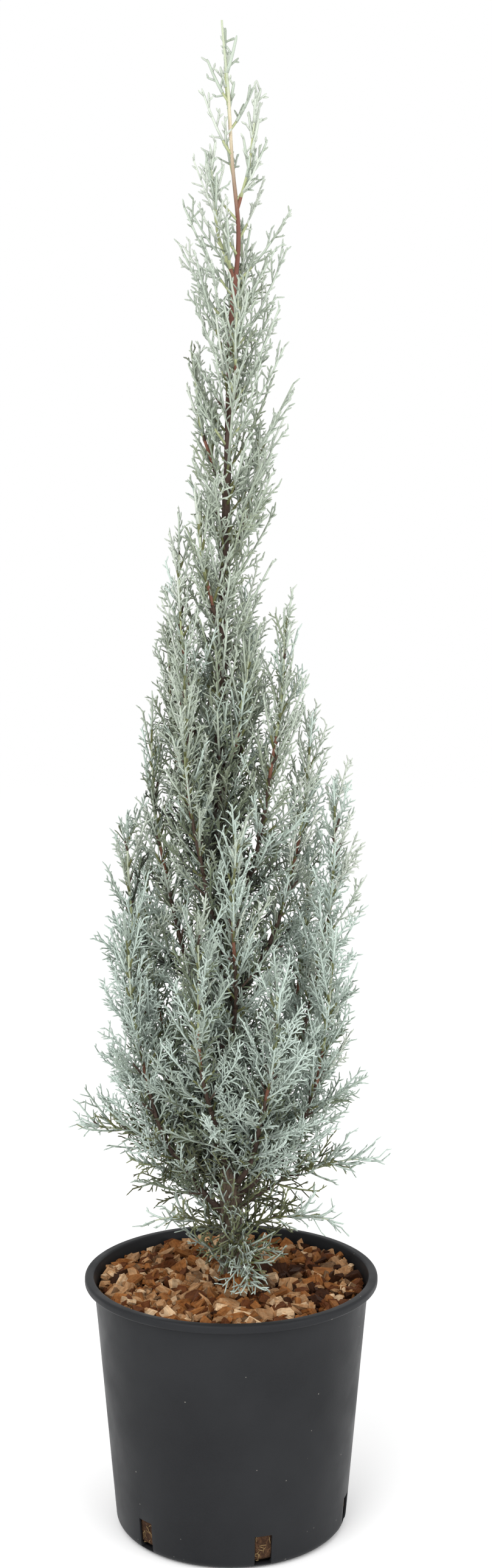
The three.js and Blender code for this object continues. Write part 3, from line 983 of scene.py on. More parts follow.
def chip_shape(rng):
    """One angular chip of unit size, split from a block: its points and its triangles."""
    bm = bmesh.new()
    bmesh.ops.create_cube(bm, size=1.0)
    for _ in range(CHIP_CUTS):
        way = Vector((rng.uniform(-1, 1), rng.uniform(-1, 1), rng.uniform(-0.5, 0.5))).normalized()
        parts = bm.verts[:] + bm.edges[:] + bm.faces[:]
        middle = way * rng.uniform(0.3, 0.5)
        cut = bmesh.ops.bisect_plane(bm, geom=parts, plane_co=middle, plane_no=way, clear_outer=True)
        edges = [part for part in cut["geom_cut"] if isinstance(part, bmesh.types.BMEdge)]
        bmesh.ops.edgeloop_fill(bm, edges=edges)
    bmesh.ops.recalc_face_normals(bm, faces=bm.faces)
    bmesh.ops.triangulate(bm, faces=bm.faces)
    bm.verts.index_update()
    points = np.array([tuple(vert.co) for vert in bm.verts])
    triangles = np.array([[vert.index for vert in face.verts] for face in bm.faces])
    bm.free()
    return points, triangles


def chip_tone(place, layer, rng):
    """The tone of a chip: damp chips, which are darker, lie together, and the bottom layer is darker too
    as painted shade.
    """
    damp_and_shade = math.exp(-(((place.xy - DAMP_PLACE).length / DAMP_REACH) ** 2))
    # The bottom layer takes the damp tones as painted shade under the chips above
    damp_and_shade = max(damp_and_shade, 1 - layer)
    shares = [mix(dry, wet_and_shade, damp_and_shade) for _, dry, wet_and_shade in CHIP_TONES]
    return rng.choices([name for name, _, _ in CHIP_TONES], shares)[0]


def laid_chip(shape, size, place, turn, furthest, highest):
    """A chip's points, turned and laid in place, kept clear of the pot's wall and under the highest."""
    points = (shape * size) @ np.array(turn.to_matrix()).T + np.array(place)
    excess = max(0, np.hypot(points[:, 0], points[:, 1]).max() - furthest)
    inwards = -np.array(place.xy) / max(place.xy.length, MM) * excess
    points[:, :2] += inwards
    points[:, 2] -= max(0, points[:, 2].max() - highest)
    return points


def scatter_chips(pot, filling):
    """Chips strewn by a sunflower rule in a few layers: points, triangles and grain of each, by tone."""
    rng = random.Random(CHIP_SEED)
    shapes = [chip_shape(rng) for _ in range(CHIP_SHAPES)]
    heaps = {name: [] for name, _, _ in CHIP_TONES}
    furthest = inner_radius(pot, filling.bed_top) - CHIP_CLEARANCE
    per_layer = filling.chips // CHIP_LAYERS
    for i in range(per_layer * CHIP_LAYERS):
        layer, k = divmod(i, per_layer)
        radius = furthest * math.sqrt((k + rng.random()) / per_layer)
        angle = k * GOLDEN_ANGLE + layer * CHIP_LAYER_TURN + rng.uniform(-0.1, 0.1)
        z = filling.bed_top + mix(0, CHIP_PILE, layer / (CHIP_LAYERS - 1)) * MM
        z += rng.uniform(-CHIP_UNEVEN, CHIP_UNEVEN) * MM
        place = Vector((radius * math.cos(angle), radius * math.sin(angle), z))
        points, triangles = rng.choice(shapes)
        scale = mix(*CHIP_SCALES, rng.random() ** CHIP_SKEW)
        stretch = [scale * rng.uniform(*limits) for limits in CHIP_STRETCHES]
        size = np.array((filling.chip_length, filling.chip_width, filling.chip_thickness)) * stretch
        tilt = rng.gauss(0, CHIP_TILT)
        turn = Matrix.Rotation(rng.uniform(0, 2 * math.pi), 3, "Z")
        roll = rng.gauss(0, CHIP_ROLL)
        turn = turn @ Matrix.Rotation(tilt, 3, "Y") @ Matrix.Rotation(roll, 3, "X")
        laid = laid_chip(points, size, place, turn.to_quaternion(), furthest, filling.highest)
        marks = points * size + [rng.random(), rng.random(), rng.random()]
        heaps[chip_tone(place, layer, rng)].append((laid, triangles, marks))
    return heaps


def chips_mesh(name, heap):
    """A heap of chips of one tone as one mesh, with the grain's coordinates on its points."""
    counts = np.array([len(laid) for laid, _, _ in heap])
    firsts = np.concatenate(([0], np.cumsum(counts)[:-1]))
    points = np.concatenate([laid for laid, _, _ in heap])
    triangles = np.concatenate([triangles + first for (_, triangles, _), first in zip(heap, firsts)])
    mesh = mesh_from_arrays(name, points, triangles.ravel(), np.full(len(triangles), 3), smooth=False)
    marks = np.concatenate([marks for _, _, marks in heap]).astype(np.float32)
    attribute = mesh.attributes.new(GRAIN, "FLOAT_VECTOR", "POINT")
    attribute.data.foreach_set("vector", marks.ravel())
    return mesh


def lay_mulch(pot, filling):
    """The bed of crumbs, dark as painted shade between the chips, and the wood chips on it."""
    heights = np.linspace(MULCH_LOW.z + 2 * MM, filling.bed_top, 4)
    bm = revolved(filling_outline(pot, MULCH_LOW.z, filling.bed_top, heights), steps=96)
    roughened(bm, scale=90, depth=2.5 * MM, inwards=0.3 * MM)
    # The bed's dark tone is painted shade between the chips, its light tone the crumbs
    bed_look = crumbly("chip_crumbs", filling.bed_dark, filling.bed_light, scale=260.0)
    place_piece("chip_bed", finish_bmesh(bm, "chip_bed", math.pi), bed_look, ("mulch",))
    for tone, heap in scatter_chips(pot, filling).items():
        name = f"chips_{tone}"
        look = split_wood(name, getattr(filling, tone))
        place_piece(name, chips_mesh(name, heap), look, ("mulch",))


# Limbs
# How boughs swell the trunk: how far above their feet, over which height in millimetres and which turn,
# and how much, as a share of its radius
COLLAR_ABOVE = 3
COLLAR_HEIGHT = 9
COLLAR_TURN = 0.7
COLLAR_MOST = 1.2
COLLAR_SWELL = 0.18
# Rings lie closer near the trunk's foot, and a thinner trunk than this has shallower furrows
TRUNK_RINGS_POWER = 1.25
FULL_RELIEF_RADIUS = 8 * MM
# How slim the skirt's boughs are, how boughs taper, how deep their furrows are beside the trunk's,
# and how far apart in the noise they lie
SKIRT_BOUGH = 0.75
BOUGH_TAPER = 0.6
BOUGH_RELIEF = 0.45
BOUGH_SEED_STEP = 3.1
# How close the coarse and the fine furrows lie, round a limb and along it
COARSE_FURROWS = (2.2, 22)
FINE_FURROWS = (5, 70)
# Edges of a limb that turn more than this stay sharp
LIMB_SHARP = math.radians(60)


def bowed(bows, z):
    """How far the bows carry the trunk from a plumb line, in millimetres."""
    return sum(bow.by * math.exp(-(((z - bow.at) / bow.span) ** 2)) for bow in bows)


def trunk_middle(z):
    """The middle of the trunk at a height in millimetres, in metres."""
    return Vector((bowed(SWAY_RIGHT, z), bowed(SWAY_AWAY, z), z)) * MM


def trunk_radius(z):
    """The trunk's radius at a height in millimetres, in metres."""
    foot = SOIL_HIGH.z / MM
    share = clamp((z - foot) / (TRUNK_HIGH.z / MM - foot))
    flare = TRUNK_FLARE * math.exp(-(z - foot) / TRUNK_FLARE_HEIGHT)
    return (mix(TRUNK_FOOT_RADIUS, TRUNK_TIP_RADIUS, share**TRUNK_TAPER) + flare) * MM


def all_plumes():
    """The plumes with their labels: those with places of their own, then the upper ones."""
    plumes = list(PLUMES)
    for i in range(UPPER_COUNT):
        share = i / (UPPER_COUNT - 1)
        size = mix(1, UPPER_SHRINK_TO, share**UPPER_SHRINK_POWER)
        base = mix(UPPER_LOWEST, UPPER_HIGHEST, share)
        facing = UPPER_FIRST_FACING + math.degrees(i * GOLDEN_ANGLE)
        top = base + UPPER_RISE * mix(UPPER_LEAST_RISE, 1, size)
        plumes.append(Plume("upper", base, facing, UPPER_REACH * size, top, False, size, size**-0.5))
    counts = {}
    labelled = []
    for plume in plumes:
        counts[plume.tier] = counts.get(plume.tier, 0) + 1
        labelled.append((f"{plume.tier}_{counts[plume.tier]}", plume))
    return labelled


class Line:
    """The curve of a plume from the trunk to its tip, read by the share of its length."""

    STEPS = 120
    # How far it wavers to its sides, how much of that outwards, and how often it does each
    WAVER = 3.2 * MM
    WAVER_OUT = 0.6
    WAVES_ASIDE = 7
    WAVES_OUT = 9
    # The share before and after a place from which its heading is read
    NEAR = 0.02

    def __init__(self, plume, rng):
        tier = TIERS[plume.tier]
        facing = math.radians(plume.facing)
        out = Vector((math.cos(facing), math.sin(facing), 0)) * MM
        foot = trunk_middle(plume.base)
        rise = plume.top - plume.base
        bend = foot + out * tier.out * plume.reach + UP * (tier.up * rise + tier.arch) * MM
        tip = foot + out * plume.reach
        tip.z = plume.top * MM
        phases = [rng.uniform(0, 2 * math.pi) for _ in range(2)]
        side = Vector((-math.sin(facing), math.cos(facing), 0))
        self.points = []
        for i in range(self.STEPS + 1):
            t = i / self.STEPS
            point = foot * (1 - t) ** 2 + bend * 2 * t * (1 - t) + tip * t**2
            sway = math.sin(math.pi * t) * self.WAVER * plume.size
            point += side * sway * math.sin(self.WAVES_ASIDE * t + phases[0])
            point += out.normalized() * sway * self.WAVER_OUT * math.sin(self.WAVES_OUT * t + phases[1])
            self.points.append(point)
        steps = [(b - a).length for a, b in zip(self.points, self.points[1:])]
        self.reached = np.concatenate(([0], np.cumsum(steps)))
        self.length = self.reached[-1]

    def at(self, share):
        """The point at a share of the length."""
        goal = clamp(share) * self.length
        i = int(min(np.searchsorted(self.reached, goal, side="right") - 1, self.STEPS - 1))
        part = (goal - self.reached[i]) / (self.reached[i + 1] - self.reached[i])
        return self.points[i].lerp(self.points[i + 1], part)

    def heading(self, share):
        """The way that the curve runs at a share of the length."""
        return (self.at(share + self.NEAR) - self.at(share - self.NEAR)).normalized()


def across_of(way):
    """A direction square to another."""
    other = Vector((1, 0, 0)) if abs(way.z) > STEEP else UP
    return other.cross(way).normalized()


def bend_bar(bm, sides, rings, place):
    """Adds a closed bar to the bmesh and bends it: place gives the point at an angle and a share."""
    before = len(bm.verts)
    made = bmesh.ops.create_cone(bm, cap_ends=True, segments=sides, radius1=1, radius2=1, depth=1)
    edges = dict.fromkeys(edge for vert in made["verts"] for edge in vert.link_edges)
    upright = [edge for edge in edges if abs(edge.verts[0].co.z - edge.verts[1].co.z) > 0.5]
    bmesh.ops.subdivide_edges(bm, edges=upright, cuts=rings - 1, use_grid_fill=True)
    bm.verts.ensure_lookup_table()
    for vert in bm.verts[before:]:
        vert.co = place(math.atan2(vert.co.y, vert.co.x), vert.co.z + 0.5)


def furrowed(angle, along, seed):
    """The bark's relief at a place, from about -1 to 1, drawn out along the limb."""

    def layer(around, lengthwise):
        way = Vector((math.cos(angle) * around, math.sin(angle) * around, along * lengthwise + seed))
        return noise.noise(way)

    return layer(*COARSE_FURROWS) + 0.5 * layer(*FINE_FURROWS)


def collar(plumes, angle, z):
    """How far the trunk swells at a place for the boughs that leave it there, in metres."""
    swelling = 0.0
    for _, plume in plumes:
        turn = turn_between(angle, math.radians(plume.facing)) / COLLAR_TURN
        rise = (z - plume.base - COLLAR_ABOVE) / COLLAR_HEIGHT
        swelling += math.exp(-(rise**2) - turn**2) * plume.size
    return min(swelling, COLLAR_MOST) * COLLAR_SWELL * trunk_radius(z)


def grow_trunk(crown, colours, plumes):
    """The trunk from the mix to the leader's tip, with furrowed bark and collars under its boughs."""
    bm = bmesh.new()

    def place(angle, share):
        z = mix(TRUNK_LOW.z, TRUNK_HIGH.z, share**TRUNK_RINGS_POWER) / MM
        radius = trunk_radius(z)
        depth = crown.relief * min(1, radius / FULL_RELIEF_RADIUS)
        radius += depth * furrowed(angle, z * MM, 0) + collar(plumes, angle, z)
        return trunk_middle(z) + Vector((math.cos(angle), math.sin(angle), 0)) * radius

    bend_bar(bm, sides=22, rings=260, place=place)
    bmesh.ops.recalc_face_normals(bm, faces=bm.faces)
    mesh = finish_bmesh(bm, "trunk_bark", LIMB_SHARP)
    place_piece("trunk_bark", mesh, trunk_bark(colours), ("trunk",))


def grow_boughs(crown, colours, plumes, lines):
    """The bare boughs, from inside the trunk to where their foliage begins."""
    bm = bmesh.new()
    nodes = []
    for seed, ((label, plume), line) in enumerate(zip(plumes, lines)):
        if not plume.bough:
            continue
        bare = TIERS[plume.tier].bare
        slim = SKIRT_BOUGH if plume.tier == "skirt" else 1
        nodes.append(f"bough_{label}")

        def place(angle, share):
            along = mix(0, bare, share)
            way = line.heading(along)
            across = across_of(way)
            radius = mix(crown.bough_radius, crown.stem_radius, share**BOUGH_TAPER) * slim
            furrow = furrowed(angle, along * line.length, seed * BOUGH_SEED_STEP)
            radius += BOUGH_RELIEF * crown.relief * furrow
            ring = across * math.cos(angle) + way.cross(across) * math.sin(angle)
            return line.at(along) + ring * radius

        bend_bar(bm, sides=12, rings=28, place=place)
    bmesh.ops.recalc_face_normals(bm, faces=bm.faces)
    mesh = finish_bmesh(bm, "bough_bark", LIMB_SHARP)
    place_piece("bough_bark", mesh, bough_bark(colours), nodes)


# Foliage
class Order(NamedTuple):
    """How the shoots of one order look, with their radii in millimetres, and how they bear side shoots.

    A share stays bare at the foot. The spacing is in millimetres and the lean in degrees.
    """

    rings: int
    sides: int
    foot: float
    tip: float
    bare: float
    spacing: float
    lean: float


SPRAY = Order(rings=5, sides=4, foot=1.3, tip=0.85, bare=0.1, spacing=3.2, lean=50)
TWIG = Order(rings=4, sides=3, foot=1.0, tip=0.82, bare=0.14, spacing=3.1, lean=50)
BRANCHLET = Order(rings=3, sides=3, foot=0.86, tip=0.74, bare=0.35, spacing=3.4, lean=44)
STUB = Order(rings=3, sides=3, foot=0.82, tip=0.74, bare=0, spacing=0, lean=0)

# Where a shoot's tip begins to round off, and its radius at the very end as a share
TIP_LENGTH = 1.8 * MM
TIP_FROM = 0.6
TIP_END = 0.45
# Where in its step a side shoot stands, its lean at the foot and at the tip as shares, and how that varies
SIDE_PLACES = (0.4, 0.8)
SIDE_LEANS = (1.1, 0.84)
SIDE_LEAN_VARIED = 6
# How far side shoots and their own planes twist, and how far they bend to their bearer's way and upwards
SIDE_TWIST = 0.55
PLANE_TWIST = 0.5
SIDE_BENDS = (0.02, 0.26)
LIFT_BEND = 0.5
# Lengths of the branchlets on sprays and on twigs and of the stubs on branchlets, in millimetres
SPRAY_BRANCHLETS = (9, 16)
TWIG_BRANCHLETS = (7, 13)
STUBS = (3.5, 6)
# What is left of a branchlet's length at the tip, and the most that one may be of its twig
BRANCHLET_AT_TIP = 0.6
BRANCHLET_OF_TWIG = 0.6
# Branchlets of this length fork, at this share of their places
FORKED_FROM = 8 * MM
FORKED_SHARE = 0.42
# Twigs: their lengths as shares of the spray, what is left of that at its tip, where the last one
# stands, and their lean and lift as shares of the spray's
TWIGS = (0.3, 0.55)
TWIG_AT_TIP = 0.5
LAST_TWIG = 0.88
TWIG_LEAN = 0.85
TWIG_LIFT = 0.6
# The places on a spray that tell its rank among the tones, where its tone is of that rank, and whose tone
# its axis has
RANKED_BY = 0.6
RANK_AT = 0.7
AXIS_TONE = 0.7
# Ranks of tone inside the crown and at its outside, how they vary, and where they turn paler near the top
# The darker ranks inside are partly greener old foliage and partly painted shade
RANK_INSIDE = 3.5
RANK_OUTSIDE = 0.9
RANK_VARIED = 0.7
PALER_FROM = 1150
PALER_OVER = 250
# How the plumes vary in rank
MOOD_VARIED = 0.4
# Sprays of this length show wood at their feet, over these shares, with these radii in millimetres
WOODY_FROM = 30 * MM
WOOD_SHARES = (0.15, 0.4)
WOOD_RADII = (1.35, 1.15)
WOOD_RINGS = 4
WOOD_SIDES = 5
# The stems of the plumes, and how slim the slimmest are
STEM_RINGS = 8
STEM_SIDES = 6
SLIM_STEM = 0.6
# How sprays lean near a plume's tip and how their lean and turn vary, in degrees, how much shorter they
# are there, how their lift varies, and the share of it at a plume's foot and how fast that grows
LEAN_AT_TIP = 26
LEAN_VARIED = 10
TURN_VARIED = 50
SHORTER_AT_TIP = 0.45
LIFTS = (0.4, 1.2)
LIFT_AT_FOOT = 0.3
LIFT_GROWS = 3
# The spray that ends a plume: its length as a share of the others, and its lift
END_SPRAY = 0.35
END_LIFT = 0.1
# How many tones greener a spray is at its foot than at its tip, and how much its shoots vary
# Towards a spray's foot its tones also darken, partly as painted shade
GREENER = {"skirt": 2.6, "lower": 1.5, "middle": 1.5, "upper": 1.2}
VARIED = 0.4
# How many tones greener a plume is where its foliage begins than at its tip, and where it is as usual
# There they darken too, partly as painted shade inside the plume
INNER_GREENER = {"skirt": 2.4, "lower": 0, "middle": 0, "upper": 0}
INNER_UP_TO = 0.75
# How sprays vary in length, the shares to which one is cut until it stays clear of the plant, and the
# places on it that have to: over the chips, over the rim, off the trunk and within the reach
LENGTHS = (0.8, 1.1)
CUTS = (1, 0.85, 0.7, 0.55)
CLEAR_AT = (0.45, 0.75, 1)
ABOVE_CHIPS = 6 * MM
ABOVE_RIM = 5 * MM
RIM_FROM = 120 * MM
OFF_TRUNK = 2 * MM
REACH = 159 * MM
# Sprays stand closer near a plume's foot. Where the first one stands and where the short ones end
SPRAY_POWER = 1.15
FIRST_SPRAY = 0.09
LAST_SHORT_SPRAY = 0.8
SHORT_SPRAYS = (16 * MM, 32 * MM)
# How many short sprays there are for each long one
SHORT_SHARES = {"skirt": 1, "lower": 1, "middle": 0.7, "upper": 0.35}
# Kinds of stem, each with the share at which it ends, and the kinds of wood at the sprays' feet
STEM_KINDS = (("brown", 0.3), ("russet", 0.5), ("green", 0.74))
SKIRT_STEM_KINDS = (("brown", 0.2), ("olive", 0.8))
HIGH_STEM_KINDS = (("russet", 0.12), ("green", 0.7))
SLIM_STEM_KINDS = (("olive", 0.8),)
SPRAY_WOOD = {"olive": 0.75, "brown": 0.25}
HIGH_SPRAY_WOOD = {"green": 1}
# Tones of foliage from the palest on, and those that the skirt has of its own
TONES = ("frost", "silver", "sage", "moss", "shade")
SKIRT_TONES = ("moss", "shade")
# Heights at which the low tones end and the green wood begins, and how they vary
LOW_UP_TO = (740, 130)
GREEN_WOOD_FROM = (1130, 60)
# How much longer the sprays are to the right than to the left at some heights
RIGHT_HEIGHTS = (540, 760, 1060, 1190)
RIGHT_SHARES = (0, 0.25, 0.35, 0)
# How much more the lower boughs' sprays rise at some heights, so that none hang below the crown
HANG_HEIGHTS = (315, 330, 380, 420)
HANG_LIFTS = (0, 0.3, 0.3, 0)
# How much stouter the shoots are near the leader
STOUT_HEIGHTS = (1300, 1420)
STOUT_SHARES = (1, 1.35)
# The crown's radius at some heights
CROWN_HEIGHTS = (300, 400, 700, 950, 1100, 1290, 1400, 1500)
CROWN_RADII = (100, 150, 125, 62, 46, 56, 22, 12)
# Up to here the sprays on the trunk belong to the skirt
SKIRT_UP_TO = 365
# Sprays straight on the trunk: heights, and at each the length, the lean and the spacing
TRUNK_HEIGHTS = (258, 272, 320, 380, 760, 1180, 1260, 1340, 1425, 1490)
TRUNK_LENGTHS = (72, 48, 52, 52, 56, 78, 80, 50, 42, 14)
TRUNK_LEANS = (88, 72, 68, 64, 50, 42, 50, 34, 36, 26)
TRUNK_SPACINGS = (1.1, 5, 3.4, 3.4, 4.6, 6.4, 14, 22, 28, 16)
# How strongly the sprays on the trunk turn to the front, and to both sides, at those heights
TRUNK_FRONTS = (0.7, 0.7, 0.7, 0.7, 0.5, 0.2, 0, 0, 0, 0)
TRUNK_ASIDES = (0, 0, 0, 0, 0, 0.2, 0.9, 0.9, 0.9, 0)
# How open they are at those heights
TRUNK_APART = (1, 1, 1, 1, 1, 1, 1.25, 1.5, 1.7, 1.7)
# How they vary in lean, in degrees, in turn and in lift
TRUNK_LEAN_VARIED = 9
TRUNK_TURN_VARIED = 0.8
TRUNK_LIFTS = (0.25, 0.5)
# Up to here they have draws of their own, from another golden angle on
FOOT_SPRAYS_UP_TO = 272
FOOT_FIRST = 2


class Shoot(NamedTuple):
    """One axis: it starts at its foot, runs its way, and is pulled aside more and more."""

    foot: Vector
    way: Vector
    pull: Vector
    length: float
    flat: Vector

    def at(self, share):
        """The point at a share of the length."""
        return self.foot + (self.way * share + self.pull * share**2) * self.length

    def heading(self, share):
        """The way that the shoot runs at a share of its length."""
        return (self.way + self.pull * 2 * share).normalized()


def leaning(axis, across, lean, turn):
    """A direction that leans away from an axis, turned about it."""
    return axis * math.cos(lean) + (Matrix.Rotation(turn, 3, axis) @ across) * math.sin(lean)


def drawn(shoot, order, bundle, start=0.0, thick=1.0):
    """Adds a shoot's own axis to a bundle, from a share of its length on, with a rounded tip."""
    shoulder = max(TIP_FROM, 1 - TIP_LENGTH / shoot.length)
    shares = [mix(start, shoulder, i / (order.rings - 2)) for i in range(order.rings - 1)]
    thick *= MM * np.interp(shoot.foot.z / MM, STOUT_HEIGHTS, STOUT_SHARES)
    radii = [mix(order.foot, order.tip, share) * thick for share in shares]
    radii.append(order.tip * TIP_END * thick)
    bundle.add([shoot.at(share) for share in (*shares, 1)], radii, order.sides)


def side_places(shoot, order, rng, wide=1.0):
    """Where a shoot bears its side shoots, left and right in turn: each one's share, side and lean."""
    count = int(shoot.length * (1 - order.bare) / (order.spacing * wide * MM))
    for k in range(count):
        share = mix(order.bare, 1, (k + rng.uniform(*SIDE_PLACES)) / count)
        lean = math.radians(order.lean * mix(*SIDE_LEANS, share) + rng.gauss(0, SIDE_LEAN_VARIED))
        yield share, -1 if k % 2 else 1, lean


def side_shoot(shoot, share, side, lean, size, rng, lift=0.0):
    """A side shoot that lies nearly in its bearer's plane and bends a little towards its tip."""
    heading = shoot.heading(share)
    across = shoot.flat.cross(heading).normalized() * side
    way = leaning(heading, across, lean, rng.gauss(0, SIDE_TWIST)) + UP * lift
    way.normalize()
    pull = (heading - way * heading.dot(way)) * rng.uniform(*SIDE_BENDS) + UP * lift * LIFT_BEND
    flat = shoot.flat - way * shoot.flat.dot(way)
    flat.rotate(Matrix.Rotation(rng.gauss(0, PLANE_TWIST), 3, way))
    return Shoot(shoot.at(share), way, pull, size, flat.normalized())


def grow_branchlet(branchlet, bundle, rng, tier):
    """A branchlet, forked once or twice where it is long."""
    drawn(branchlet, BRANCHLET, bundle, thick=tier.thick)
    if branchlet.length < FORKED_FROM:
        return
    for share, side, lean in side_places(branchlet, BRANCHLET, rng):
        if rng.random() < FORKED_SHARE:
            stub = side_shoot(branchlet, share, side, lean, rng.uniform(*STUBS) * MM, rng)
            drawn(stub, STUB, bundle, thick=tier.thick)


def grow_twig(twig, bundle, rng, tier, wide):
    """A twig with its branchlets, like a fishbone."""
    drawn(twig, TWIG, bundle, thick=tier.thick)
    for share, side, lean in side_places(twig, TWIG, rng, wide):
        size = min(rng.uniform(*TWIG_BRANCHLETS) * MM, BRANCHLET_OF_TWIG * twig.length)
        size = size * mix(1, BRANCHLET_AT_TIP, share) * tier.branch
        grow_branchlet(side_shoot(twig, share, side, lean, size, rng), bundle, rng, tier)


def grow_spray(spray, tone, rng, plume, twig_share, wood):
    """One spray: its axis, with twigs and branchlets along it. The tone gives the bundle for a share."""
    tier = TIERS[plume.tier]
    wide = tier.open * max(1, plume.apart)
    drawn(spray, SPRAY, tone(AXIS_TONE), wood, tier.thick)
    for share, side, lean in side_places(spray, SPRAY, rng, wide):
        if share < LAST_TWIG and rng.random() < twig_share:
            size = spray.length * rng.uniform(*TWIGS) * mix(1, TWIG_AT_TIP, share)
            twig = side_shoot(spray, share, side, lean * TWIG_LEAN, size, rng, tier.lift * TWIG_LIFT)
            grow_twig(twig, tone(share), rng, tier, wide)
        else:
            size = rng.uniform(*SPRAY_BRANCHLETS) * MM * mix(1, BRANCHLET_AT_TIP, share) * tier.branch
            grow_branchlet(side_shoot(spray, share, side, lean, size, rng), tone(share), rng, tier)


def clear_of_plant(shoot):
    """Whether a spray stays clear of the chips, the rim and the trunk."""
    for share in CLEAR_AT:
        point = shoot.at(share)
        over_rim = point.xy.length > RIM_FROM
        lowest = POT_HIGH.z + ABOVE_RIM if over_rim else MULCH_HIGH.z + ABOVE_CHIPS
        if point.z < lowest or point.xy.length > REACH:
            return False
        z = min(point.z, TRUNK_HIGH.z) / MM
        if (point - trunk_middle(z)).xy.length < trunk_radius(z) + OFF_TRUNK:
            return False
    return True


def fitted(foot, way, size, lift, rng):
    """A spray cut as far as it needs to stay clear, or None."""
    flat = Matrix.Rotation(rng.uniform(0, math.pi), 3, way) @ across_of(way)
    pull = UP * lift * rng.uniform(*LIFTS)
    for cut in CUTS:
        shoot = Shoot(foot, way, pull, size * cut, flat)
        if clear_of_plant(shoot):
            return shoot
    return None


def longer_to_right(foot, way):
    """How much longer a spray is for the way it points, where the crown leans to the right."""
    return 1 + np.interp(foot.z / MM, RIGHT_HEIGHTS, RIGHT_SHARES) * way.x


def on_trunk(z, values):
    """What a table of the sprays on the trunk says at a height."""
    return np.interp(z, TRUNK_HEIGHTS, values)


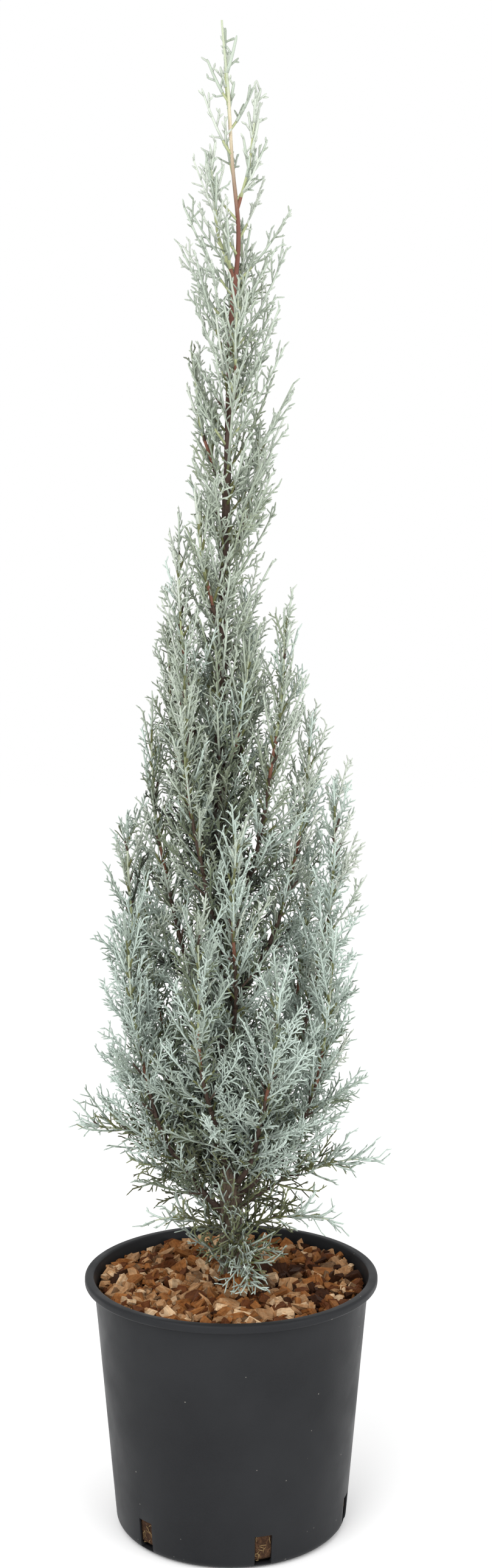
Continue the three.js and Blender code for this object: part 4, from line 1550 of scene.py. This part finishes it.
class Crown:
    """The bundles of sprays by tone and of stems by age, as the plumes grow."""

    def __init__(self, settings):
        self.settings = settings
        self.sprays = {}
        self.stems = {}

    def spray_bundle(self, tone):
        """The bundle of a tone of foliage."""
        return self.sprays.setdefault(tone, Bundle())

    def stem_bundle(self, kind):
        """The bundle of a kind of stem."""
        return self.stems.setdefault(kind, Bundle())

    def tone_of(self, plume, spray, mood, rng):
        """What gives the bundle for a share of a spray: paler to its tip, the crown's outside and top, and
        darker inside partly as painted shade.
        """
        middle = spray.at(RANKED_BY)
        z = middle.z / MM
        zone = "low" if z < rng.gauss(*LOW_UP_TO) else "high"
        out = (middle - trunk_middle(z)).xy.length / (np.interp(z, CROWN_HEIGHTS, CROWN_RADII) * MM)
        paler = clamp((z - PALER_FROM) / PALER_OVER)
        rank = rng.gauss(mix(RANK_INSIDE, RANK_OUTSIDE, clamp(out)) + mood - paler, RANK_VARIED)

        def bundle(share):
            place = rng.gauss(rank + GREENER[plume.tier] * (RANK_AT - share), VARIED)
            tone = TONES[int(clamp(place, 0, len(TONES) - 1))]
            where = "skirt" if plume.tier == "skirt" and tone in SKIRT_TONES else zone
            return self.spray_bundle(f"{where}_{tone}")

        return bundle

    def add_spray(self, plume, spray, mood, rng):
        """One spray with its own wood at the foot, where it is long enough to show it."""
        thick = TIERS[plume.tier].thick
        wood = 0.0
        if spray.length > WOODY_FROM:
            wood = rng.uniform(*WOOD_SHARES)
            kinds = HIGH_SPRAY_WOOD if spray.foot.z / MM > rng.gauss(*GREEN_WOOD_FROM) else SPRAY_WOOD
            kind = rng.choices(list(kinds), kinds.values())[0]
            last = WOOD_RINGS - 1
            points = [spray.at(wood * i / last) for i in range(WOOD_RINGS)]
            radii = [mix(*WOOD_RADII, i / last) * thick * MM for i in range(WOOD_RINGS)]
            self.stem_bundle(kind).add(points, radii, WOOD_SIDES)
        tone = self.tone_of(plume, spray, mood, rng)
        grow_spray(spray, tone, rng, plume, self.settings.twig_share, wood)

    def grow_stem(self, plume, line, bare):
        """A plume's stem, which ripens from green at the tip to brown at the bough."""
        slim = mix(SLIM_STEM, 1, plume.size)
        kinds = STEM_KINDS
        if plume.tier == "skirt":
            slim = SLIM_STEM
            kinds = SKIRT_STEM_KINDS if plume.bough else SLIM_STEM_KINDS
        elif plume.base > GREEN_WOOD_FROM[0]:
            kinds = HIGH_STEM_KINDS
        start = bare
        for kind, end in (*kinds, ("tip", 1)):
            end = mix(bare, 1, end)
            shares = [mix(start, end, i / (STEM_RINGS - 1)) for i in range(STEM_RINGS)]
            grown = [(share - bare) / (1 - bare) for share in shares]
            radii = [mix(self.settings.stem_radius, self.settings.tip_radius, g) * slim for g in grown]
            bundle = self.spray_bundle("tip") if kind == "tip" else self.stem_bundle(kind)
            bundle.add([line.at(share) for share in shares], radii, STEM_SIDES)
            start = end

    def clothe(self, plume, line, mood, rng, count, last, size_at):
        """Sets sprays round a plume's line by the golden angle, from its bough up to a share of it."""
        tier = TIERS[plume.tier]
        bare = tier.bare if plume.bough else 0.0
        for k in range(count):
            place = mix(FIRST_SPRAY, last, ((k + 0.7) / count) ** SPRAY_POWER)
            share = max(0, (place - bare) / (1 - bare))
            along = line.heading(place)
            lean = mix(tier.lean, LEAN_AT_TIP, share) + rng.uniform(-LEAN_VARIED, LEAN_VARIED)
            turn = k * GOLDEN_ANGLE + math.radians(rng.uniform(0, TURN_VARIED))
            way = leaning(along, across_of(along), math.radians(lean), turn)
            foot = line.at(place)
            way.z += tier.lift * clamp(LIFT_AT_FOOT + share * LIFT_GROWS)
            if plume.tier == "lower":
                way.z += np.interp(foot.z / MM, HANG_HEIGHTS, HANG_LIFTS)
            way.normalize()
            spray = fitted(foot, way, size_at(share) * longer_to_right(foot, way), tier.lift, rng)
            if spray:
                greener = INNER_GREENER[plume.tier] * (INNER_UP_TO - share)
                self.add_spray(plume, spray, mood + greener, rng)

    def grow_plume(self, plume, line, rng):
        """A plume's stem with its sprays, short ones that hide the stem, and one at its tip."""
        tier = TIERS[plume.tier]
        self.grow_stem(plume, line, tier.bare if plume.bough else 0.0)
        mood = rng.gauss(0, MOOD_VARIED)
        spread = tier.spread * plume.size * MM
        apart = self.settings.spray_spacing * tier.spacing * plume.apart
        count = round(line.length / apart)
        short_count = round(count * SHORT_SHARES[plume.tier])

        def long_spray(share):
            return spread * (1 - SHORTER_AT_TIP * share) * rng.uniform(*LENGTHS)

        def short_spray(_):
            return rng.uniform(*SHORT_SPRAYS)

        self.clothe(plume, line, mood, rng, count, 1, long_spray)
        self.clothe(plume, line, mood, rng, short_count, LAST_SHORT_SPRAY, short_spray)
        end = fitted(line.at(1), line.heading(1), END_SPRAY * spread, END_LIFT, rng)
        if end:
            self.add_spray(plume, end, mood, rng)

    def grow_on_trunk(self, rng, z, highest, k):
        """Sprays straight on the trunk between two heights, from the k-th golden angle on."""
        while z < highest:
            apart = on_trunk(z, TRUNK_APART)
            tier = "skirt" if z < SKIRT_UP_TO else "middle" if z < UPPER_LOWEST else "upper"
            plume = Plume(tier, z, 0, 0, z, apart=apart)
            lean = on_trunk(z, TRUNK_LEANS) + rng.uniform(-TRUNK_LEAN_VARIED, TRUNK_LEAN_VARIED)
            lean = math.radians(lean)
            turn = k * GOLDEN_ANGLE + rng.uniform(0, TRUNK_TURN_VARIED)
            turn -= on_trunk(z, TRUNK_FRONTS) * math.sin(turn)
            aside = on_trunk(z, TRUNK_ASIDES)
            turn += aside * math.copysign(max(0, math.cos(turn)), math.sin(turn))
            out = math.sin(lean)
            way = Vector((math.sin(turn) * out, -math.cos(turn) * out, math.cos(lean)))
            size = on_trunk(z, TRUNK_LENGTHS) * rng.uniform(*LENGTHS) * MM
            size *= longer_to_right(trunk_middle(z), way)
            flat = Matrix.Rotation(rng.uniform(0, math.pi), 3, way) @ across_of(way)
            spray = Shoot(trunk_middle(z), way, UP * rng.uniform(*TRUNK_LIFTS), size, flat)
            self.add_spray(plume, spray, 0, rng)
            z += on_trunk(z, TRUNK_SPACINGS)
            k += 1


def grow_foliage(crown, colours, plumes, lines):
    """The foliage of every plume, joined by tone, and the stems, joined by age."""
    grown = Crown(crown)
    for index, ((_, plume), line) in enumerate(zip(plumes, lines)):
        grown.grow_plume(plume, line, random.Random(index + 1))
    grown.grow_on_trunk(random.Random(FOOT_SEED), TRUNK_HEIGHTS[0], FOOT_SPRAYS_UP_TO, FOOT_FIRST)
    grown.grow_on_trunk(random.Random(TRUNK_SEED), FOOT_SPRAYS_UP_TO, TRUNK_HEIGHTS[-1], 0)
    nodes = [f"foliage_{label}" for label, _ in plumes]
    for tone in sorted(grown.sprays):
        look = waxy(f"foliage_{tone}", getattr(colours, tone), sheen=0.15)
        mesh = grown.sprays[tone].mesh(f"sprays_{tone}")
        place_piece(f"sprays_{tone}", mesh, look, nodes)
    for kind in sorted(grown.stems):
        look = waxy(f"stem_{kind}", getattr(colours, kind), rough=0.7)
        place_piece(f"stems_{kind}", grown.stems[kind].mesh(f"stems_{kind}"), look, nodes)


# Stage
# Two large round lights and what they face
LIGHT_SIZE = 2.8
LIGHT_TARGET = Vector((0, 0, 0.7))
KEY_PLACE = Vector((-1.5, -2.4, 2.3))
FILL_PLACE = Vector((1.9, -1.9, 1.3))
# The floor lies this far under the pot
FLOOR_DROP = 0.5 * MM
SENSOR_HEIGHT = 36


def area_light(name, place, watts):
    """A large soft light that faces the plant."""
    light = bpy.data.lights.new(name, "AREA")
    light.shape = "DISK"
    light.size = LIGHT_SIZE
    light.energy = watts
    lamp = bpy.data.objects.new(name, light)
    lamp.location = place
    lamp.rotation_euler = (LIGHT_TARGET - place).to_track_quat("-Z", "Y").to_euler()
    bpy.context.scene.collection.objects.link(lamp)


def set_stage(stage):
    """A pale floor, white surroundings, soft lights and the camera."""
    scene = bpy.context.scene
    scene.view_settings.view_transform = "Standard"
    world = bpy.data.worlds.new("studio")
    world.use_nodes = True
    background = world.node_tree.nodes["Background"]
    background.inputs["Color"].default_value = (1, 1, 1, 1)
    background.inputs["Strength"].default_value = stage.sky
    scene.world = world
    bm = bmesh.new()
    bmesh.ops.create_circle(bm, cap_ends=True, segments=64, radius=stage.floor_radius)
    bmesh.ops.translate(bm, verts=bm.verts, vec=(0, 0, -FLOOR_DROP))
    mesh = bpy.data.meshes.new("floor")
    bm.to_mesh(mesh)
    bm.free()
    mesh.materials.append(pale_floor(stage.floor))
    floor = bpy.data.objects.new("floor", mesh)
    scene.collection.objects.link(floor)
    floor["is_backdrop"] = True
    area_light("key_light", KEY_PLACE, stage.key)
    area_light("fill_light", FILL_PLACE, stage.fill)
    camera = bpy.data.objects.new("camera", bpy.data.cameras.new("camera"))
    camera.data.sensor_fit = "VERTICAL"
    camera.data.sensor_height = SENSOR_HEIGHT
    camera.data.lens = stage.lens
    camera.location = (0, -stage.camera_distance, stage.camera_height)
    camera.rotation_euler = (math.pi / 2 - stage.camera_pitch, 0, -stage.camera_turn)
    scene.collection.objects.link(camera)
    scene.camera = camera


# Operators
def plan():
    """The plumes with their labels, and the line of each."""
    plumes = all_plumes()
    return plumes, [Line(plume, random.Random(LINE_SEED + i)) for i, (_, plume) in enumerate(plumes)]


class CYPRESS_OT_pot(bpy.types.Operator):
    """Mould the pot"""

    bl_idname = "cypress.pot"
    bl_label = "Pot"

    def execute(self, context):
        mould_pot(context.scene.cypress_pot)
        return {"FINISHED"}


class CYPRESS_OT_mix(bpy.types.Operator):
    """Fill the pot with potting mix"""

    bl_idname = "cypress.mix"
    bl_label = "Potting mix"

    def execute(self, context):
        fill_with_mix(context.scene.cypress_pot, context.scene.cypress_filling)
        return {"FINISHED"}


class CYPRESS_OT_mulch(bpy.types.Operator):
    """Strew wood chips on the mix"""

    bl_idname = "cypress.mulch"
    bl_label = "Wood chips"

    def execute(self, context):
        lay_mulch(context.scene.cypress_pot, context.scene.cypress_filling)
        return {"FINISHED"}


class CYPRESS_OT_limbs(bpy.types.Operator):
    """Grow the trunk and its boughs"""

    bl_idname = "cypress.limbs"
    bl_label = "Trunk and boughs"

    def execute(self, context):
        plumes, lines = plan()
        grow_trunk(context.scene.cypress_crown, context.scene.cypress_colours, plumes)
        grow_boughs(context.scene.cypress_crown, context.scene.cypress_colours, plumes, lines)
        return {"FINISHED"}


class CYPRESS_OT_foliage(bpy.types.Operator):
    """Grow the stems and their sprays"""

    bl_idname = "cypress.foliage"
    bl_label = "Foliage"

    def execute(self, context):
        plumes, lines = plan()
        grow_foliage(context.scene.cypress_crown, context.scene.cypress_colours, plumes, lines)
        return {"FINISHED"}


class CYPRESS_OT_stage(bpy.types.Operator):
    """Set the floor, the lights and the camera"""

    bl_idname = "cypress.stage"
    bl_label = "Stage"

    def execute(self, context):
        set_stage(context.scene.cypress_stage)
        return {"FINISHED"}


class CYPRESS_PT_panel(bpy.types.Panel):
    """The steps that make the potted cypress, with their settings"""

    bl_idname = "CYPRESS_PT_panel"
    bl_label = "Potted cypress"
    bl_space_type = "VIEW_3D"
    bl_region_type = "UI"
    bl_category = "Cypress"

    def draw(self, context):
        for operator in OPERATORS:
            self.layout.operator(operator.bl_idname)
        for name in SETTINGS:
            group = getattr(context.scene, name)
            box = self.layout.box()
            box.label(text=group.bl_rna.description)
            for field in group.__annotations__:
                box.prop(group, field)


OPERATORS = (
    CYPRESS_OT_stage,
    CYPRESS_OT_pot,
    CYPRESS_OT_mix,
    CYPRESS_OT_mulch,
    CYPRESS_OT_limbs,
    CYPRESS_OT_foliage,
)
SETTINGS = {
    "cypress_pot": PotSettings,
    "cypress_filling": FillingSettings,
    "cypress_crown": CrownSettings,
    "cypress_colours": CrownColours,
    "cypress_stage": StageSettings,
}


def register():
    """Adds the settings, the operators and the panel."""
    for group in SETTINGS.values():
        bpy.utils.register_class(group)
    for operator in (*OPERATORS, CYPRESS_PT_panel):
        bpy.utils.register_class(operator)
    for name, group in SETTINGS.items():
        setattr(bpy.types.Scene, name, PointerProperty(type=group))


def unregister():
    """Takes the panel, the operators and the settings away."""
    for name in SETTINGS:
        delattr(bpy.types.Scene, name)
    for operator in (CYPRESS_PT_panel, *reversed(OPERATORS)):
        bpy.utils.unregister_class(operator)
    for group in reversed(SETTINGS.values()):
        bpy.utils.unregister_class(group)


def main():
    """Makes the whole scene."""
    register()
    bpy.ops.cypress.stage()
    bpy.ops.cypress.pot()
    bpy.ops.cypress.mix()
    bpy.ops.cypress.mulch()
    bpy.ops.cypress.limbs()
    bpy.ops.cypress.foliage()
    boxes = {"cad": CAD_BOX, "visual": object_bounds()}
    {name: [list(corner) for corner in box] for name, box in boxes.items()}


if __name__ == "__main__":
    main()
